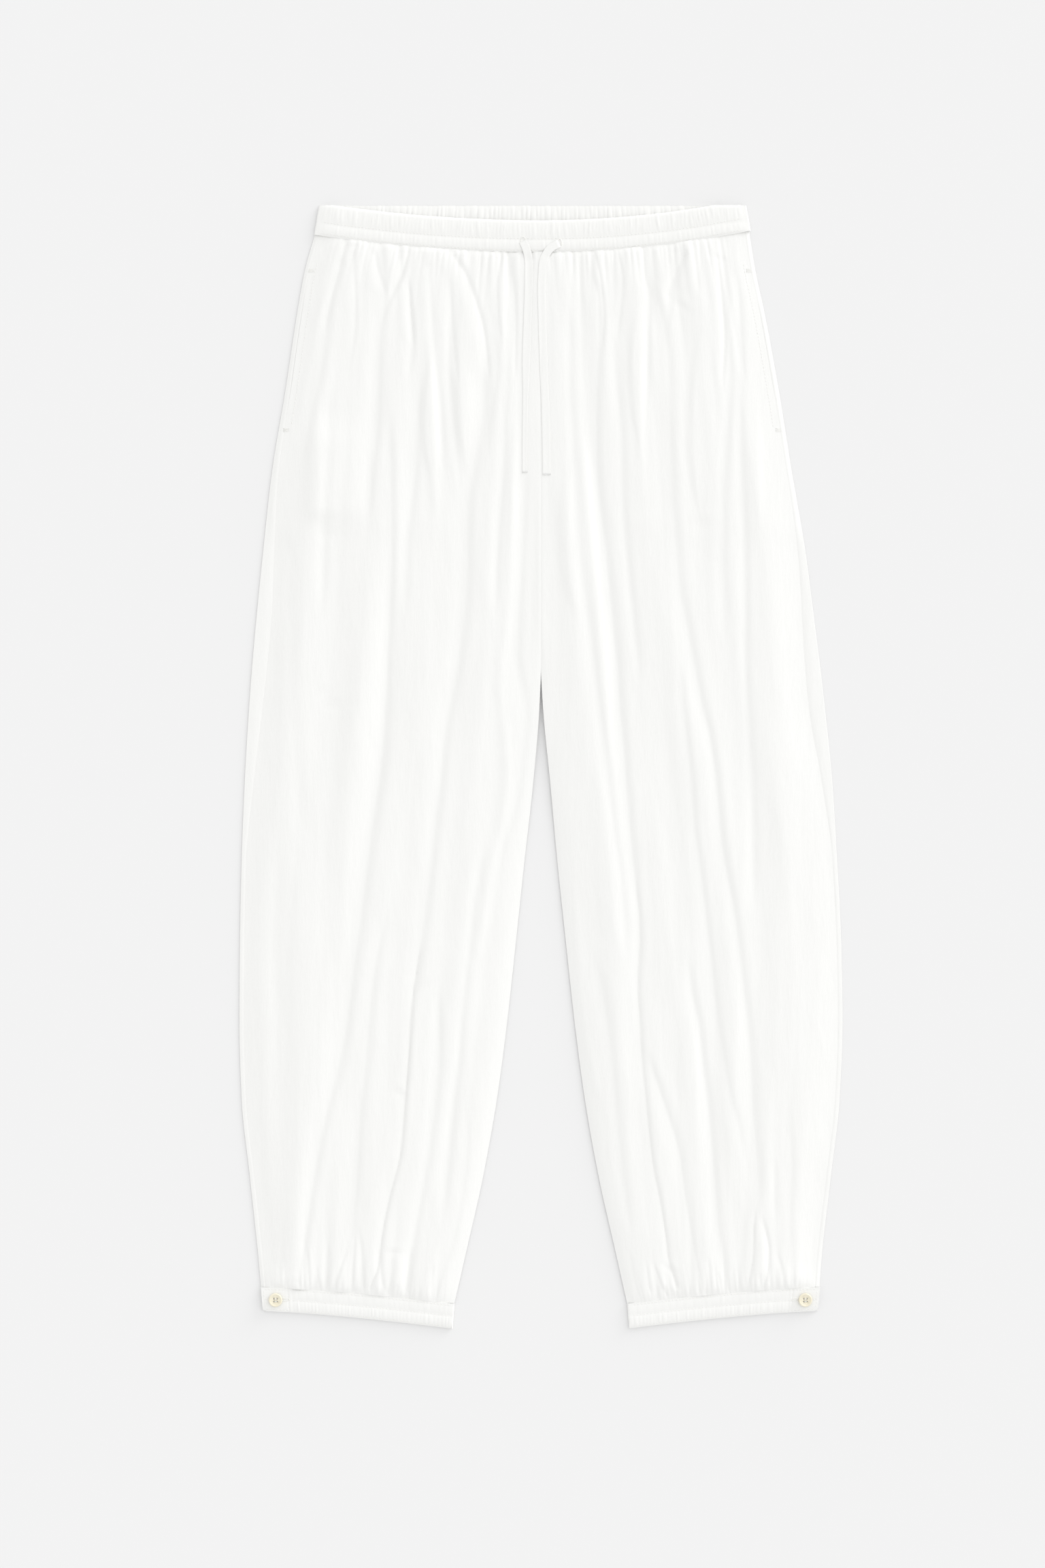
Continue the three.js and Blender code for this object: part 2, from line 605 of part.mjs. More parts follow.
// Flat tie along its route, lying on the panels with a rounded flat section
function tie(route) {
  const half = { width: tieWidth / 2, thick: tieThick / 2 };
  const places = route.x.map((x, index) => {
    const y = route.y[index];
    const heights = [-half.width, 0, half.width].map((across) => topOfFront(x + across, y));
    return new THREE.Vector3(x, y, Math.max(...heights) + tieLift + half.thick);
  });
  places[0].z = places[1].z;
  const bevel = 0.35;
  const section = new THREE.Shape([
    [-half.thick, -half.width + bevel], [-half.thick + bevel, -half.width],
    [half.thick - bevel, -half.width], [half.thick, -half.width + bevel],
    [half.thick, half.width - bevel], [half.thick - bevel, half.width],
    [-half.thick + bevel, half.width], [-half.thick, half.width - bevel],
  ].map(([x, y]) => new THREE.Vector2(x, y)));
  const geometry = new THREE.ExtrudeGeometry(section, {
    steps: route.steps, bevelEnabled: false, extrudePath: new THREE.CatmullRomCurve3(places),
  });
  return geometry;
}

for (const leg of ['left', 'right']) {
  const cuff = cuffs[leg];
  addPiece(`front_${leg}`, frontPanel(leg), cotton);
  addPiece(`back_${leg}`, backPanel(leg), cotton);
  addPiece(`pocket_bag_${leg}`, pocketBag(leg), cotton);
  addPiece(`cuff_${leg}`, cuffStrip(leg), tape);
  const fastener = addPiece(`button_${leg}`, buttonGeometry(), horn);
  const reach = cuff.outer - button.fromEdge;
  const middle = cuffSeam(leg, reach) - cuffHeight / 2;
  fastener.position.set(cuff.side * reach, middle, 2 * cuffWall + 2 * seamGap);
  addPiece(`tie_${leg}`, tie(tieRoutes[leg]), tape);
}
addPiece('waistband', waistband(), tape);

export default pants;
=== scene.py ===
import math
import bpy
import bmesh
import numpy as np
from mathutils import Matrix, Vector
from mathutils.bvhtree import BVHTree


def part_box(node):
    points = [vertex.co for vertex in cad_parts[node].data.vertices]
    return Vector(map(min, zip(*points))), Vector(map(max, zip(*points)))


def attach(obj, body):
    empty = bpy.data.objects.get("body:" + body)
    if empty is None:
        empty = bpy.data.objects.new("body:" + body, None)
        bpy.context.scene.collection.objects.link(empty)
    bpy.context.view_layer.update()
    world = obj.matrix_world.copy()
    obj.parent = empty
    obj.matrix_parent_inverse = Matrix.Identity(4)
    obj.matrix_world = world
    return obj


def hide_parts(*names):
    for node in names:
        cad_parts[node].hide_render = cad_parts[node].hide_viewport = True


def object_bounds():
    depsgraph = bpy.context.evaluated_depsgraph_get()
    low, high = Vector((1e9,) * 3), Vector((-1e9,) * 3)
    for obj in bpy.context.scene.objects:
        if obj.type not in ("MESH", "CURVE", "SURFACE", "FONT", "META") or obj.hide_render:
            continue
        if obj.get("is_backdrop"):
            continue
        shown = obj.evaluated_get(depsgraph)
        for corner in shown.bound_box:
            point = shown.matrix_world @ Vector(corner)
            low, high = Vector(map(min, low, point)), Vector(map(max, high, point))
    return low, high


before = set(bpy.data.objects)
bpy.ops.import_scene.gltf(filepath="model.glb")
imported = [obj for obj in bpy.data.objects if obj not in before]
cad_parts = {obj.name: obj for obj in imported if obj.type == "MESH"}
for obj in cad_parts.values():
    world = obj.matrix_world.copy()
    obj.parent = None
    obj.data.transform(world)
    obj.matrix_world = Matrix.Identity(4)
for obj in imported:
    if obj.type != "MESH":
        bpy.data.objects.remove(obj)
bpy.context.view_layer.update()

mm = 0.001  # sizes in this file are millimetres, Blender gets metres
fullTurn = 2 * math.pi
picture = {"point": 0.59, "middleX": 795, "middleY": 1127, "width": 1536, "height": 2304}


def fromPicture(px, py):
    return (px - picture["middleX"]) * picture["point"], (picture["middleY"] - py) * picture["point"]


def addObject(name, data):
    made = bpy.data.objects.new(name, data)
    bpy.context.scene.collection.objects.link(made)
    return made


# camera: straight down, the whole picture high
cameraView = {"height": 2500, "sensor": 36, "farthest": 20}
lookX, lookY = fromPicture(picture["width"] / 2, picture["height"] / 2)
cameraData = bpy.data.cameras.new("camera")
cameraData.sensor_fit = "VERTICAL"
cameraData.sensor_height = cameraView["sensor"]
cameraData.lens = cameraView["sensor"] * cameraView["height"] / (picture["height"] * picture["point"])
cameraData.clip_end = cameraView["farthest"]
camera = addObject("camera", cameraData)
camera.location = (lookX * mm, lookY * mm, cameraView["height"] * mm)
bpy.context.scene.camera = camera
print("camera set")

# Half widths of each leg down its length: outline, side seam inside it, inseam
sectionNames = ("y", "left", "right", "stripLeft", "stripRight", "inLeft", "inRight")
sections = np.array([
    (462, 195.8, 180.9, 4.0, 4.0, 0.15, 0.15),
    (430, 204.7, 186.0, 4.0, 4.0, 0.15, 0.15),
    (393, 211.4, 194.0, 4.2, 4.0, 0.15, 0.15),
    (325, 221.7, 206.5, 4.6, 4.4, 0.15, 0.15),
    (257, 233.0, 217.4, 6.0, 4.6, 0.15, 0.15),
    (189, 240.7, 229.0, 9.8, 6.6, 0.15, 0.15),
    (121, 247.5, 237.8, 13.6, 11.0, 0.15, 0.15),
    (88, 250.4, 242.0, 13.4, 13.2, 0.15, 0.15),
    (53, 253.0, 246.0, 12.0, 14.0, 1.4, 1.9),
    (-15, 257.0, 252.8, 8.0, 9.0, 7.0, 8.4),
    (-83, 259.6, 256.9, 4.0, 4.0, 14.6, 14.6),
    (-151, 261.0, 260.3, 4.0, 4.0, 21.8, 21.8),
    (-219, 261.5, 261.5, 4.0, 4.0, 29.2, 29.2),
    (-287, 259.6, 259.0, 4.0, 4.0, 38.2, 38.2),
    (-355, 252.4, 251.4, 4.0, 4.0, 50.3, 50.3),
    (-423, 245.2, 243.6, 4.0, 4.0, 65.6, 65.6),
    (-466, 241.4, 240.6, 4.0, 4.0, 75.4, 75.2),
])
legs = {
    "left": {"side": -1, "strip": "stripLeft", "inner": "inLeft", "outer": 242.7, "cuffInner": 74.8,
             "outerY": -450.6, "innerY": -465.2, "lean": 3.2},
    "right": {"side": 1, "strip": "stripRight", "inner": "inRight", "outer": 241.9, "cuffInner": 74.7,
              "outerY": -450.6, "innerY": -464.9, "lean": 3.4},
}
waist = {"left": -192.4, "right": 178.0, "top": 486.4, "band": 27.3, "frontY": 446.0, "backY": 459.0,
         "riseLeft": 15.0, "riseRight": 18.5, "straight": 0.803}


def lerp(a, b, share):
    return a + (b - a) * share


def smooth(low, high, value):
    t = np.clip((value - low) / (high - low), 0, 1)
    return t * t * (3 - 2 * t)


def hermite(s, span, start, startSlope, end, endSlope):  # curve between two points with known slopes
    return ((2 * s**3 - 3 * s**2 + 1) * start + (s**3 - 2 * s**2 + s) * span * startSlope
            + (3 * s**2 - 2 * s**3) * end + (s**3 - s**2) * span * endSlope)


def easedTable(tableY, values, y):  # monotone curve through values whose y falls from row to row
    tableY, values, y = np.asarray(tableY, float), np.asarray(values, float), np.asarray(y, float)
    step = np.diff(values) / -np.diff(tableY)
    before, after = np.append(step[:1], step), np.append(step, step[-1:])
    total = np.where(before + after == 0, 1, before + after)
    slope = np.where(before * after > 0, 2 * before * after / total, 0)
    row = np.clip(np.searchsorted(-tableY, -y, side="right") - 1, 0, len(tableY) - 2)
    span = tableY[row] - tableY[row + 1]
    s = np.clip((tableY[row] - y) / span, 0, 1)
    return hermite(s, span, values[row], slope[row], values[row + 1], slope[row + 1])


def sectionAt(name, y):
    return easedTable(sections[:, 0], sections[:, sectionNames.index(name)], y)


def waistReach(x):
    return np.minimum(np.where(x < 0, x / waist["left"], x / waist["right"]), 1)


def frontSeam(x):
    rise = np.where(x < 0, waist["riseLeft"], waist["riseRight"])
    return waist["frontY"] + rise * waistReach(x) ** 2


def backSeam(x):
    sideY = waist["frontY"] + np.where(x < 0, waist["riseLeft"], waist["riseRight"])
    rise = np.maximum(waistReach(x) - waist["straight"], 0) / (1 - waist["straight"])
    return lerp(waist["backY"], sideY, rise)


def bandTop(x):
    return np.minimum(frontSeam(x) + waist["band"], waist["top"])


def cuffSeam(leg, x):
    cut = legs[leg]
    share = np.clip((cut["outer"] - np.abs(x)) / (cut["outer"] - cut["cuffInner"]), 0, 1)
    return lerp(cut["outerY"], cut["innerY"], share ** 1.4)


# creases of the fronts, given in points of the picture, waist to hem
# width and depth in millimetres (a negative depth stands up), lean of its bright shoulder, sharp or soft
creases = {
    "left": [
        (5, 1.8, 0.4, 0, [(562, 362), (568, 430), (560, 500), (556, 635), (548, 700), (543, 795)]),
        (7, 2.9, 0.5, 0.2, [(576, 600), (579, 800), (574, 940), (566, 1100), (548, 1230), (528, 1390), (505, 1550),
            (482, 1640), (463, 1740), (452, 1820), (440, 1888)]),
        (8, 3, 0.4, 0.1, [(716, 500), (712, 600), (700, 680), (690, 760), (690, 840), (684, 920), (672, 1000),
            (660, 1060), (650, 1150), (640, 1240), (628, 1340), (618, 1420), (608, 1500)]),
        (4.5, 3, 0.7, 1, [(622, 1380), (608, 1480), (603, 1560), (598, 1620), (592, 1690), (575, 1760), (565, 1810),
            (558, 1860), (545, 1895)]),
        (3.6, 2.6, 0.6, 0.8, [(665, 369), (690, 410), (716, 500), (722, 570)]),
        (5, 1.6, 0.2, 0, [(727, 430), (732, 540), (722, 610), (712, 690)]),
        (4, 1.7, 0.3, 0.3, [(589, 360), (592, 400), (578, 435), (563, 475)]),
        (5.5, 1.8, 0.2, 0, [(742, 372), (757, 430), (752, 490), (745, 580), (742, 680), (735, 780), (728, 930)]),
        (6, 1.8, 0.3, 0, [(771, 540), (772, 700), (768, 820), (764, 900), (762, 960), (776, 1050), (770, 1120),
            (757, 1200), (742, 1240), (738, 1300)]),
        (6, -1.6, 0, 0, [(764, 590), (755, 760), (748, 900), (738, 1000), (748, 1130), (738, 1220), (725, 1270),
            (712, 1360), (700, 1420)]),
        (4, 1.3, 0, 0, [(632, 390), (640, 520), (648, 600), (656, 720)]),
        (4, 1.2, 0, 0, [(664, 410), (662, 520), (667, 600), (680, 735)]),
        (6.5, -1.9, 0, 0, [(640, 470), (638, 540), (640, 680), (646, 780)]),
        (6, 2.1, 0.5, 0.2, [(525, 360), (492, 430), (475, 540), (460, 610), (443, 700)]),
        (6, -1.5, 0, 0, [(503, 395), (470, 470), (452, 560), (436, 650)]),
        (7, 1.5, 0.1, 0, [(502, 520), (487, 600), (480, 760), (476, 920)]),
        (3.5, 1.2, 0.2, 0, [(604, 420), (608, 510), (599, 570)]),
        (5.5, 1.5, 0.2, 0, [(621, 530), (612, 700), (601, 800), (597, 920)]),
        (9, 1.4, 0, 0, [(427, 750), (428, 880), (430, 940), (438, 1100), (450, 1260)]),
        (8, 1.1, 0, 0, [(414, 1220), (405, 1400), (409, 1520)]),
        (6, 1.9, 0.3, 0.3, [(575, 1330), (558, 1400), (548, 1470), (541, 1560), (532, 1640), (527, 1740),
            (519, 1800)]),
        (5, 1.8, 0.2, 0.1, [(645, 1440), (648, 1540), (640, 1640), (628, 1720), (614, 1800), (600, 1895)]),
        (6, 1.9, 0.2, 0, [(720, 1220), (700, 1320), (692, 1390), (683, 1480), (676, 1560), (667, 1640), (660, 1720),
            (652, 1810)]),
        (5, 1.1, 0, 0, [(370, 1410), (378, 1500), (381, 1600), (384, 1700), (388, 1800)]),
        (4, 1.5, 0.2, 0.2, [(691, 1620), (688, 1690), (680, 1760), (668, 1820), (652, 1870), (643, 1902)]),
        (14, 1.6, 0, 0, [(622, 1060), (607, 1200), (604, 1360)]),
        (3, 1.9, 0.5, 0.6, [(552, 370), (560, 405), (571, 438)]),
        (3, 1.9, 0.4, 0.6, [(603, 370), (592, 408), (575, 440)]),
        (2.8, 2, 0.5, 0.7, [(602, 404), (607, 467), (611, 516)]),
        (2.8, 1.7, 0.4, 0.6, [(664, 404), (666, 467), (675, 570)]),
        (2.8, 1.6, 0.3, 0.5, [(739, 370), (732, 426), (734, 467), (740, 524)]),
        (2.6, 1.6, 0.3, 0.5, [(756, 400), (760, 467), (758, 570)]),
        (3.4, 2, 0.5, 0.5, [(505, 384), (491, 433), (477, 496)]),
        (3.2, 1.5, 0.4, 0.4, [(522, 370), (525, 460), (518, 538)]),
        (2.4, 1.2, 0.2, 0.4, [(453, 1830), (455, 1860), (457, 1892)]),
        (2.2, 1.1, 0.1, 0.4, [(484, 1822), (483, 1860), (482, 1892)]),
        (2.2, 1, 0.1, 0.2, [(466, 1856), (468, 1876), (470, 1894)]),
        (2.6, 1.4, 0.4, 0.5, [(512, 1832), (502, 1862), (494, 1890)]),
        (2.6, 1.3, 0.3, 0.4, [(530, 1806), (534, 1850), (537, 1894)]),
        (2.2, 1.2, 0.2, 0.3, [(524, 1806), (521, 1850), (518, 1892)]),
        (2.6, 1.5, 0.4, 0.5, [(560, 1832), (563, 1878), (571, 1900)]),
        (3, 1.4, 0.2, 0.3, [(606, 1826), (602, 1860), (598, 1898)]),
        (2.6, 1.2, 0.2, 0.3, [(638, 1850), (636, 1880), (634, 1906)]),
        (2.8, 1, 0, 0.2, [(416, 1826), (413, 1852), (410, 1882)]),
        (6, -1.2, 0, 0, [(588, 1832), (585, 1858), (583, 1888)]),
    ],
    "right": [
        (7, 3, 0.5, 0.3, [(876, 362), (873, 400), (882, 440), (883, 500), (880, 600), (880, 680), (885, 740),
            (892, 800), (898, 860), (903, 910), (909, 970), (914, 1040), (919, 1090), (923, 1150), (928, 1210),
            (933, 1260), (940, 1340)]),
        (5, 3.2, 0.7, 0.8, [(936, 1280), (943, 1380), (940, 1450), (943, 1500), (946, 1560), (950, 1600), (956, 1660),
            (962, 1710), (972, 1760), (980, 1810), (985, 1850), (998, 1890)]),
        (6, 2.4, 0.5, 0.5, [(948, 1530), (965, 1580), (975, 1610), (985, 1640), (1000, 1690), (1010, 1760),
            (1020, 1820), (1032, 1880), (1038, 1900)]),
        (4.5, 2, 0.3, 0.2, [(945, 362), (948, 400), (955, 440), (954, 520), (952, 610)]),
        (5, -1.6, 0, 0, [(942, 500), (942, 560), (943, 640), (947, 700)]),
        (7, 2.8, 0.4, 0.2, [(960, 410), (978, 480), (985, 540), (988, 640), (990, 720), (996, 800), (1001, 860),
            (1010, 910), (1020, 960), (1035, 1040), (1045, 1080), (1055, 1150), (1062, 1230), (1072, 1290),
            (1080, 1330), (1088, 1390), (1095, 1450), (1101, 1500), (1105, 1560), (1108, 1620), (1113, 1680),
            (1116, 1740), (1114, 1800)]),
        (2.6, 2.2, 0.4, 0.8, [(1112, 1770), (1109, 1800), (1108, 1840), (1100, 1892)]),
        (2.6, 1.8, 0.4, 0.6, [(1118, 1780), (1127, 1810), (1131, 1835), (1130, 1860), (1123, 1894)]),
        (5, -0.9, 0, 0, [(1119, 1806), (1120, 1835), (1117, 1872)]),
        (6, 1.8, 0.2, 0, [(1066, 380), (1068, 460), (1073, 520), (1075, 560), (1070, 640), (1064, 740), (1064, 820),
            (1067, 900), (1062, 960)]),
        (5.5, 1.7, 0.1, 0, [(1086, 410), (1086, 500), (1090, 600), (1092, 700), (1096, 800), (1097, 900), (1098, 980),
            (1103, 1080), (1107, 1140), (1108, 1240), (1110, 1360)]),
        (4.5, -1.2, 0, 0, [(1101, 415), (1101, 460), (1102, 520)]),
        (6, -1.3, 0, 0, [(1114, 580), (1115, 680), (1118, 780)]),
        (6.5, 1.9, 0.2, 0, [(838, 430), (838, 560), (842, 640), (848, 740), (854, 820), (862, 880), (870, 930),
            (877, 990), (886, 1060), (895, 1130), (900, 1180), (907, 1240), (915, 1300), (920, 1370), (923, 1420)]),
        (6.5, -1.8, 0, 0, [(856, 620), (866, 740), (872, 800), (885, 940), (895, 1080), (902, 1180)]),
        (5.5, 1.5, 0.1, 0, [(903, 480), (908, 560), (915, 640), (918, 740), (925, 830), (932, 900), (944, 1020)]),
        (5, 1.5, 0.3, 0.1, [(1002, 960), (1006, 1040), (1012, 1090), (1018, 1150), (1022, 1210), (1030, 1270),
            (1036, 1320), (1043, 1380), (1050, 1440), (1056, 1500), (1066, 1560), (1075, 1610), (1086, 1650),
            (1099, 1720)]),
        (6, 2.2, 0.3, 0.2, [(1011, 1390), (1020, 1460), (1030, 1510), (1035, 1560), (1042, 1610), (1048, 1680),
            (1053, 1740), (1058, 1800), (1065, 1850), (1072, 1895)]),
        (6, 1.8, 0.2, 0.1, [(868, 1380), (885, 1450), (893, 1500), (900, 1560), (908, 1640), (918, 1730),
            (931, 1830)]),
        (6, -1.4, 0, 0, [(843, 1290), (852, 1400), (860, 1500), (876, 1580), (890, 1650)]),
        (5, 1.3, 0.1, 0.1, [(1160, 1620), (1165, 1720), (1163, 1800), (1166, 1885)]),
        (3.4, 1.1, 0.1, 0.2, [(1139, 1690), (1139, 1750), (1140, 1810)]),
        (2.4, 1.3, 0.3, 0.4, [(1142, 1836), (1149, 1862), (1153, 1892)]),
        (4.5, 1.7, 0.3, 0.2, [(1010, 372), (990, 430), (982, 490)]),
        (3.5, 1.3, 0.2, 0.2, [(1020, 358), (1025, 400), (1028, 440)]),
        (10, 1, 0, 0, [(1180, 960), (1181, 1060), (1183, 1140)]),
        (2.8, 1.6, 0.4, 0.6, [(909, 370), (916, 412), (908, 506)]),
        (3, 1.8, 0.5, 0.6, [(1008, 376), (991, 412), (980, 448)]),
        (3, 1.7, 0.4, 0.5, [(1055, 376), (1062, 440), (1066, 494), (1062, 584)]),
        (2.8, 1.7, 0.4, 0.6, [(1086, 400), (1089, 467), (1096, 570)]),
        (3, 1.9, 0.5, 0.6, [(875, 370), (885, 419), (889, 467), (885, 524)]),
        (3, 1.4, 0.3, 0.3, [(904, 1800), (911, 1850), (921, 1908)]),
        (3, 1.5, 0.3, 0.4, [(925, 1832), (931, 1870), (941, 1908)]),
        (2.4, 1.3, 0.2, 0.4, [(951, 1852), (953, 1875), (956, 1898)]),
        (2.6, 1.4, 0.4, 0.5, [(962, 1855), (972, 1885), (981, 1902)]),
        (2.4, 1.2, 0.2, 0.3, [(1041, 1842), (1043, 1868), (1046, 1896)]),
        (2.4, 1.3, 0.2, 0.4, [(1056, 1868), (1059, 1884), (1062, 1898)]),
    ],
}
# Short dents that lie across the cloth: place, half length, half width, turn in degrees, depth
dents = {
    "left": [(492, 1036, 19, 2.6, 7, 0.45), (477, 1018, 9, 2.4, -24, 0.35), (487, 786, 12, 4.5, 4, 0.4),
             (587, 1605, 6, 3.0, -30, 0.6), (748, 1093, 8, 3.5, 40, 0.4), (622, 1450, 9, 3.5, 30, 0.5),
             (580, 1839, 7, 2.2, -6, 0.5), (424, 1868, 6, 2.2, 35, 0.4)],
    "right": [(1001, 452, 8, 3.0, -35, 0.35), (1034, 772, 12, 4.5, 2, 0.35), (984, 1863, 7, 2.3, -28, 0.5)],
}
cloth = {  # heights are those of the middle of the cloth above the floor
    "thick": 0.36, "columns": 196, "rows": 240, "rowBias": 0.055, "meanWidth": 205, "seed": 7,
    "height": 5.1, "seamHeight": 4.1, "hemHeight": 2.95, "leastHeight": 1.6, "rideHeight": 5.2,
    "sideHeight": 1.65, "sideLow": 0.95, "sideReach": 19, "hemReach": 7, "inseamHeight": 1.05,
    "crotchStand": 2.4, "crotch": (60, 130), "seamDip": 0.35, "sideDip": 0.1, "tieLane": 0.6,
}
creaseShape = {  # gentle and steep are its two walls, fade is the length over which its ends run out
    "depth": 0.38, "width": 0.7, "gentle": 1.7, "steep": 0.45, "fade": 48, "fadeShare": 0.34, "offset": 0.35,
    "shoulder": 0.24, "shoulderAt": 2.0, "shoulderWidth": 1.3, "toWaist": 430, "toHem": -435,
}
gatherShape = {  # ranges of width and depth, and how far a gather drifts sideways
    "short": {"width": (1.2, 2.0), "depth": (0.5, 1.2)}, "long": {"width": (2.0, 3.6), "depth": (0.35, 0.95)},
    "drift": 0.02, "usualCount": 34, "lift": 0.35,
}
gathered = {  # number of gathers at each seam, how far the short and the long ones reach
    "waist": {"short": 38, "long": 15, "reach": (14, 64), "longReach": (60, 190), "seed": 27},
    "hem": {"short": 56, "long": 12, "reach": (8, 36), "longReach": (40, 120), "seed": 57},
}
waves = {"size": 0.04, "count": 40, "across": (8, 60), "along": (260, 900)}
facets = [(47, 0.05, 0.55), (31, -0.035, 0.36), (78, 0.085, 0.65)]  # pitch, drift down the leg, height
pocket = {
    "top": 432, "bottom": 290, "mouth": 0.12, "mouthLift": 0.2, "bagTop": 440, "bagBottom": 211, "reach": 150,
    "corner": 30, "inset": 5.3, "lift": 1.5, "bulge": 0.35, "low": 1.8, "thick": 0.9, "wall": 0.7, "sink": 1.4,
    "columns": 30, "rows": 44, "wide": 145, "long": 229, "thinSide": (8, 30),
}


def creaseRelief(leg, x, y):
    height = np.zeros_like(x)
    for index, (width, depth, lean, sharp, points) in enumerate(creases[leg]):
        places = np.array([fromPicture(px, py) for px, py in points])
        top, bottom = places[0, 1], places[-1, 1]
        rows = (y < top) & (y > bottom)
        if not rows.any():
            continue
        xs, ys = x[rows], y[rows]
        width = width * creaseShape["width"]
        centre = easedTable(places[:, 1], places[:, 0], ys) - creaseShape["offset"] * width
        above, below = (easedTable(places[:, 1], places[:, 0], ys + step) for step in (3, -3))
        slope = (above - below) / 6
        fade = min(creaseShape["fade"], creaseShape["fadeShare"] * (top - bottom)) * (1 - 0.5 * sharp)
        begin = np.ones_like(ys) if top > creaseShape["toWaist"] else smooth(0, fade, top - ys)
        end = np.ones_like(ys) if bottom < creaseShape["toHem"] else smooth(0, fade, ys - bottom)
        strength = creaseShape["depth"] * begin * end * (1 + 0.16 * np.sin(ys / 80 + index * 1.7))
        here = width * (0.7 + 0.3 * begin * end) * (1 + 0.12 * np.sin(ys / 110 + index * 2.3))
        t = (xs - centre) / np.sqrt(1 + slope**2) / here
        if depth > 0:  # one wall falls gently, the other is steep
            t = t / np.where(t < 0, 1 + creaseShape["gentle"] * lean, 1 - creaseShape["steep"] * lean)
        trough = lerp(np.exp(-t * t), 1.1 * np.exp(-2 * np.abs(t)), sharp)
        at, spread = creaseShape["shoulderAt"], creaseShape["shoulderWidth"]
        shoulder = (1 + lean) * np.exp(-(((t + at) / spread) ** 2)) + (1 - lean) * np.exp(-(((t - at) / spread) ** 2))
        height[rows] += depth * strength * (creaseShape["shoulder"] * shoulder - trough)
    for px, py, along, across, turn, depth in dents[leg]:
        cx, cy = fromPicture(px, py)
        c, s = math.cos(math.radians(turn)), math.sin(math.radians(turn))
        a = ((x - cx) * c + (y - cy) * s) / along
        b = ((y - cy) * c - (x - cx) * s) / across
        height += depth * (0.5 * np.exp(-a * a - (b - 1.8) ** 2) - np.exp(-a * a - b * b))
    return height


puffs = {  # cloth that stands off and tilts to the light: left, right, top and bottom in the picture, height, pointed
    "left": [(469, 541, 600, 772, 2.5, 0), (676, 714, 382, 716, 1.5, 1), (626, 650, 517, 716, 1.2, 1)],
    "right": [(930, 952, 432, 660, 1.0, 1), (1019, 1051, 468, 780, 1.3, 1), (834, 881, 631, 930, 1.3, 1)],
}


def puffRelief(leg, x, y):
    height = np.zeros_like(x)
    for left, right, top, bottom, tall, pointed in puffs[leg]:
        (x0, y0), (x1, y1) = fromPicture(left, top), fromPicture(right, bottom)
        down = np.clip((y0 - y) / (y0 - y1), 0, 1)
        full = lerp(1, np.sin(math.pi * down) ** 0.7 + 0.02, pointed)
        u = (x - (x0 + x1) / 2) / ((x1 - x0) / 2 * full)
        window = smooth(-1.9, -0.85, u) * (1 - smooth(0.8, 1.3, u))
        ends = smooth(0, 0.35, down) * (1 - smooth(0.86 - 0.1 * pointed, 1.02, down))
        height += tall * full * (0.5 - 0.5 * np.clip(u, -1, 1)) * window * ends
    return height


def panelShare(leg, x, y):  # 0 at the inseam, 1 at the side seam
    inner, side = sectionAt(legs[leg]["inner"], y), sideSeam(leg, y)
    return (x * legs[leg]["side"] - inner) / (side - inner), side - inner


def sideSeam(leg, y):
    mouth = pocket["mouth"] * smooth(pocket["bottom"], pocket["bottom"] + 50, y)
    mouth = mouth * (1 - smooth(pocket["top"] - 50, pocket["top"], y))
    return sectionAt(leg, y) - sectionAt(legs[leg]["strip"], y) - mouth


def gatherRelief(leg, x, y, fromSeam, seam):  # small folds that start at a seam, uneven in place, length and depth
    count, reach, longReach = gathered[seam]["short"], gathered[seam]["reach"], gathered[seam]["longReach"]
    rng = np.random.RandomState(gathered[seam]["seed"] + legs[leg]["side"])
    share, wide = panelShare(leg, x, y)
    height = np.zeros_like(x)
    near = fromSeam < longReach[1]
    share, wide, distance = share[near], wide[near], fromSeam[near]
    total = np.zeros_like(share)
    usualCount = gatherShape["usualCount"]
    for index in range(count + gathered[seam]["long"]):
        isLong = index >= count
        kind = gatherShape["long" if isLong else "short"]
        place = rng.uniform(0.03, 0.97) if isLong else (index + 0.5 + rng.uniform(-0.38, 0.38)) / count
        length = rng.uniform(*(longReach if isLong else reach))
        width = rng.uniform(*kind["width"]) * (1 if isLong else (usualCount / count) ** 0.7)
        depth = rng.uniform(*kind["depth"])
        drift = rng.uniform(-gatherShape["drift"], gatherShape["drift"])
        t = (share - place - drift * distance / reach[1]) * wide / (width * (1 + 0.8 * distance / length))
        profile = np.exp(-t * t if isLong else -np.abs(t) ** 1.35)
        total -= depth * np.clip(1 - distance / length, 0, 1) ** 1.4 * profile
    height[near] = total + gatherShape["lift"] * count / usualCount * np.clip(1 - distance / reach[1], 0, 1)
    return height


def crumpleRelief(leg, x, y, seed):  # long faint waves that run with the leg
    rng = np.random.RandomState(seed)
    share, _ = panelShare(leg, x, y)
    across = share * cloth["meanWidth"]
    height = np.zeros_like(x)
    for wave in range(waves["count"]):
        acrossLength, alongLength = rng.uniform(*waves["across"]), rng.uniform(*waves["along"])
        size = (acrossLength / 40) ** 1.2
        height += size * np.sin(across * fullTurn / acrossLength + y * fullTurn / alongLength
                                * rng.choice([-1, 1]) + rng.uniform(0, 6.28))
    return height * waves["size"]


def facetRelief(leg, x, y, seed):  # broad flat slopes with soft ridges, which narrow with the leg
    rng = np.random.RandomState(seed)
    share, _ = panelShare(leg, x, y)
    height = np.zeros_like(x)
    for pitch, drift, size in facets:
        phase, bend, fade = rng.uniform(0, 6.28, 3)
        place = share * cloth["meanWidth"] + drift * y + 6 * np.sin(y / 150 + bend)
        ridge = np.arcsin(0.97 * np.sin(place * fullTurn / pitch + phase)) * 2 / math.pi
        height += size * (0.6 + 0.4 * np.sin(y / 95 + fade)) * ridge
    return height


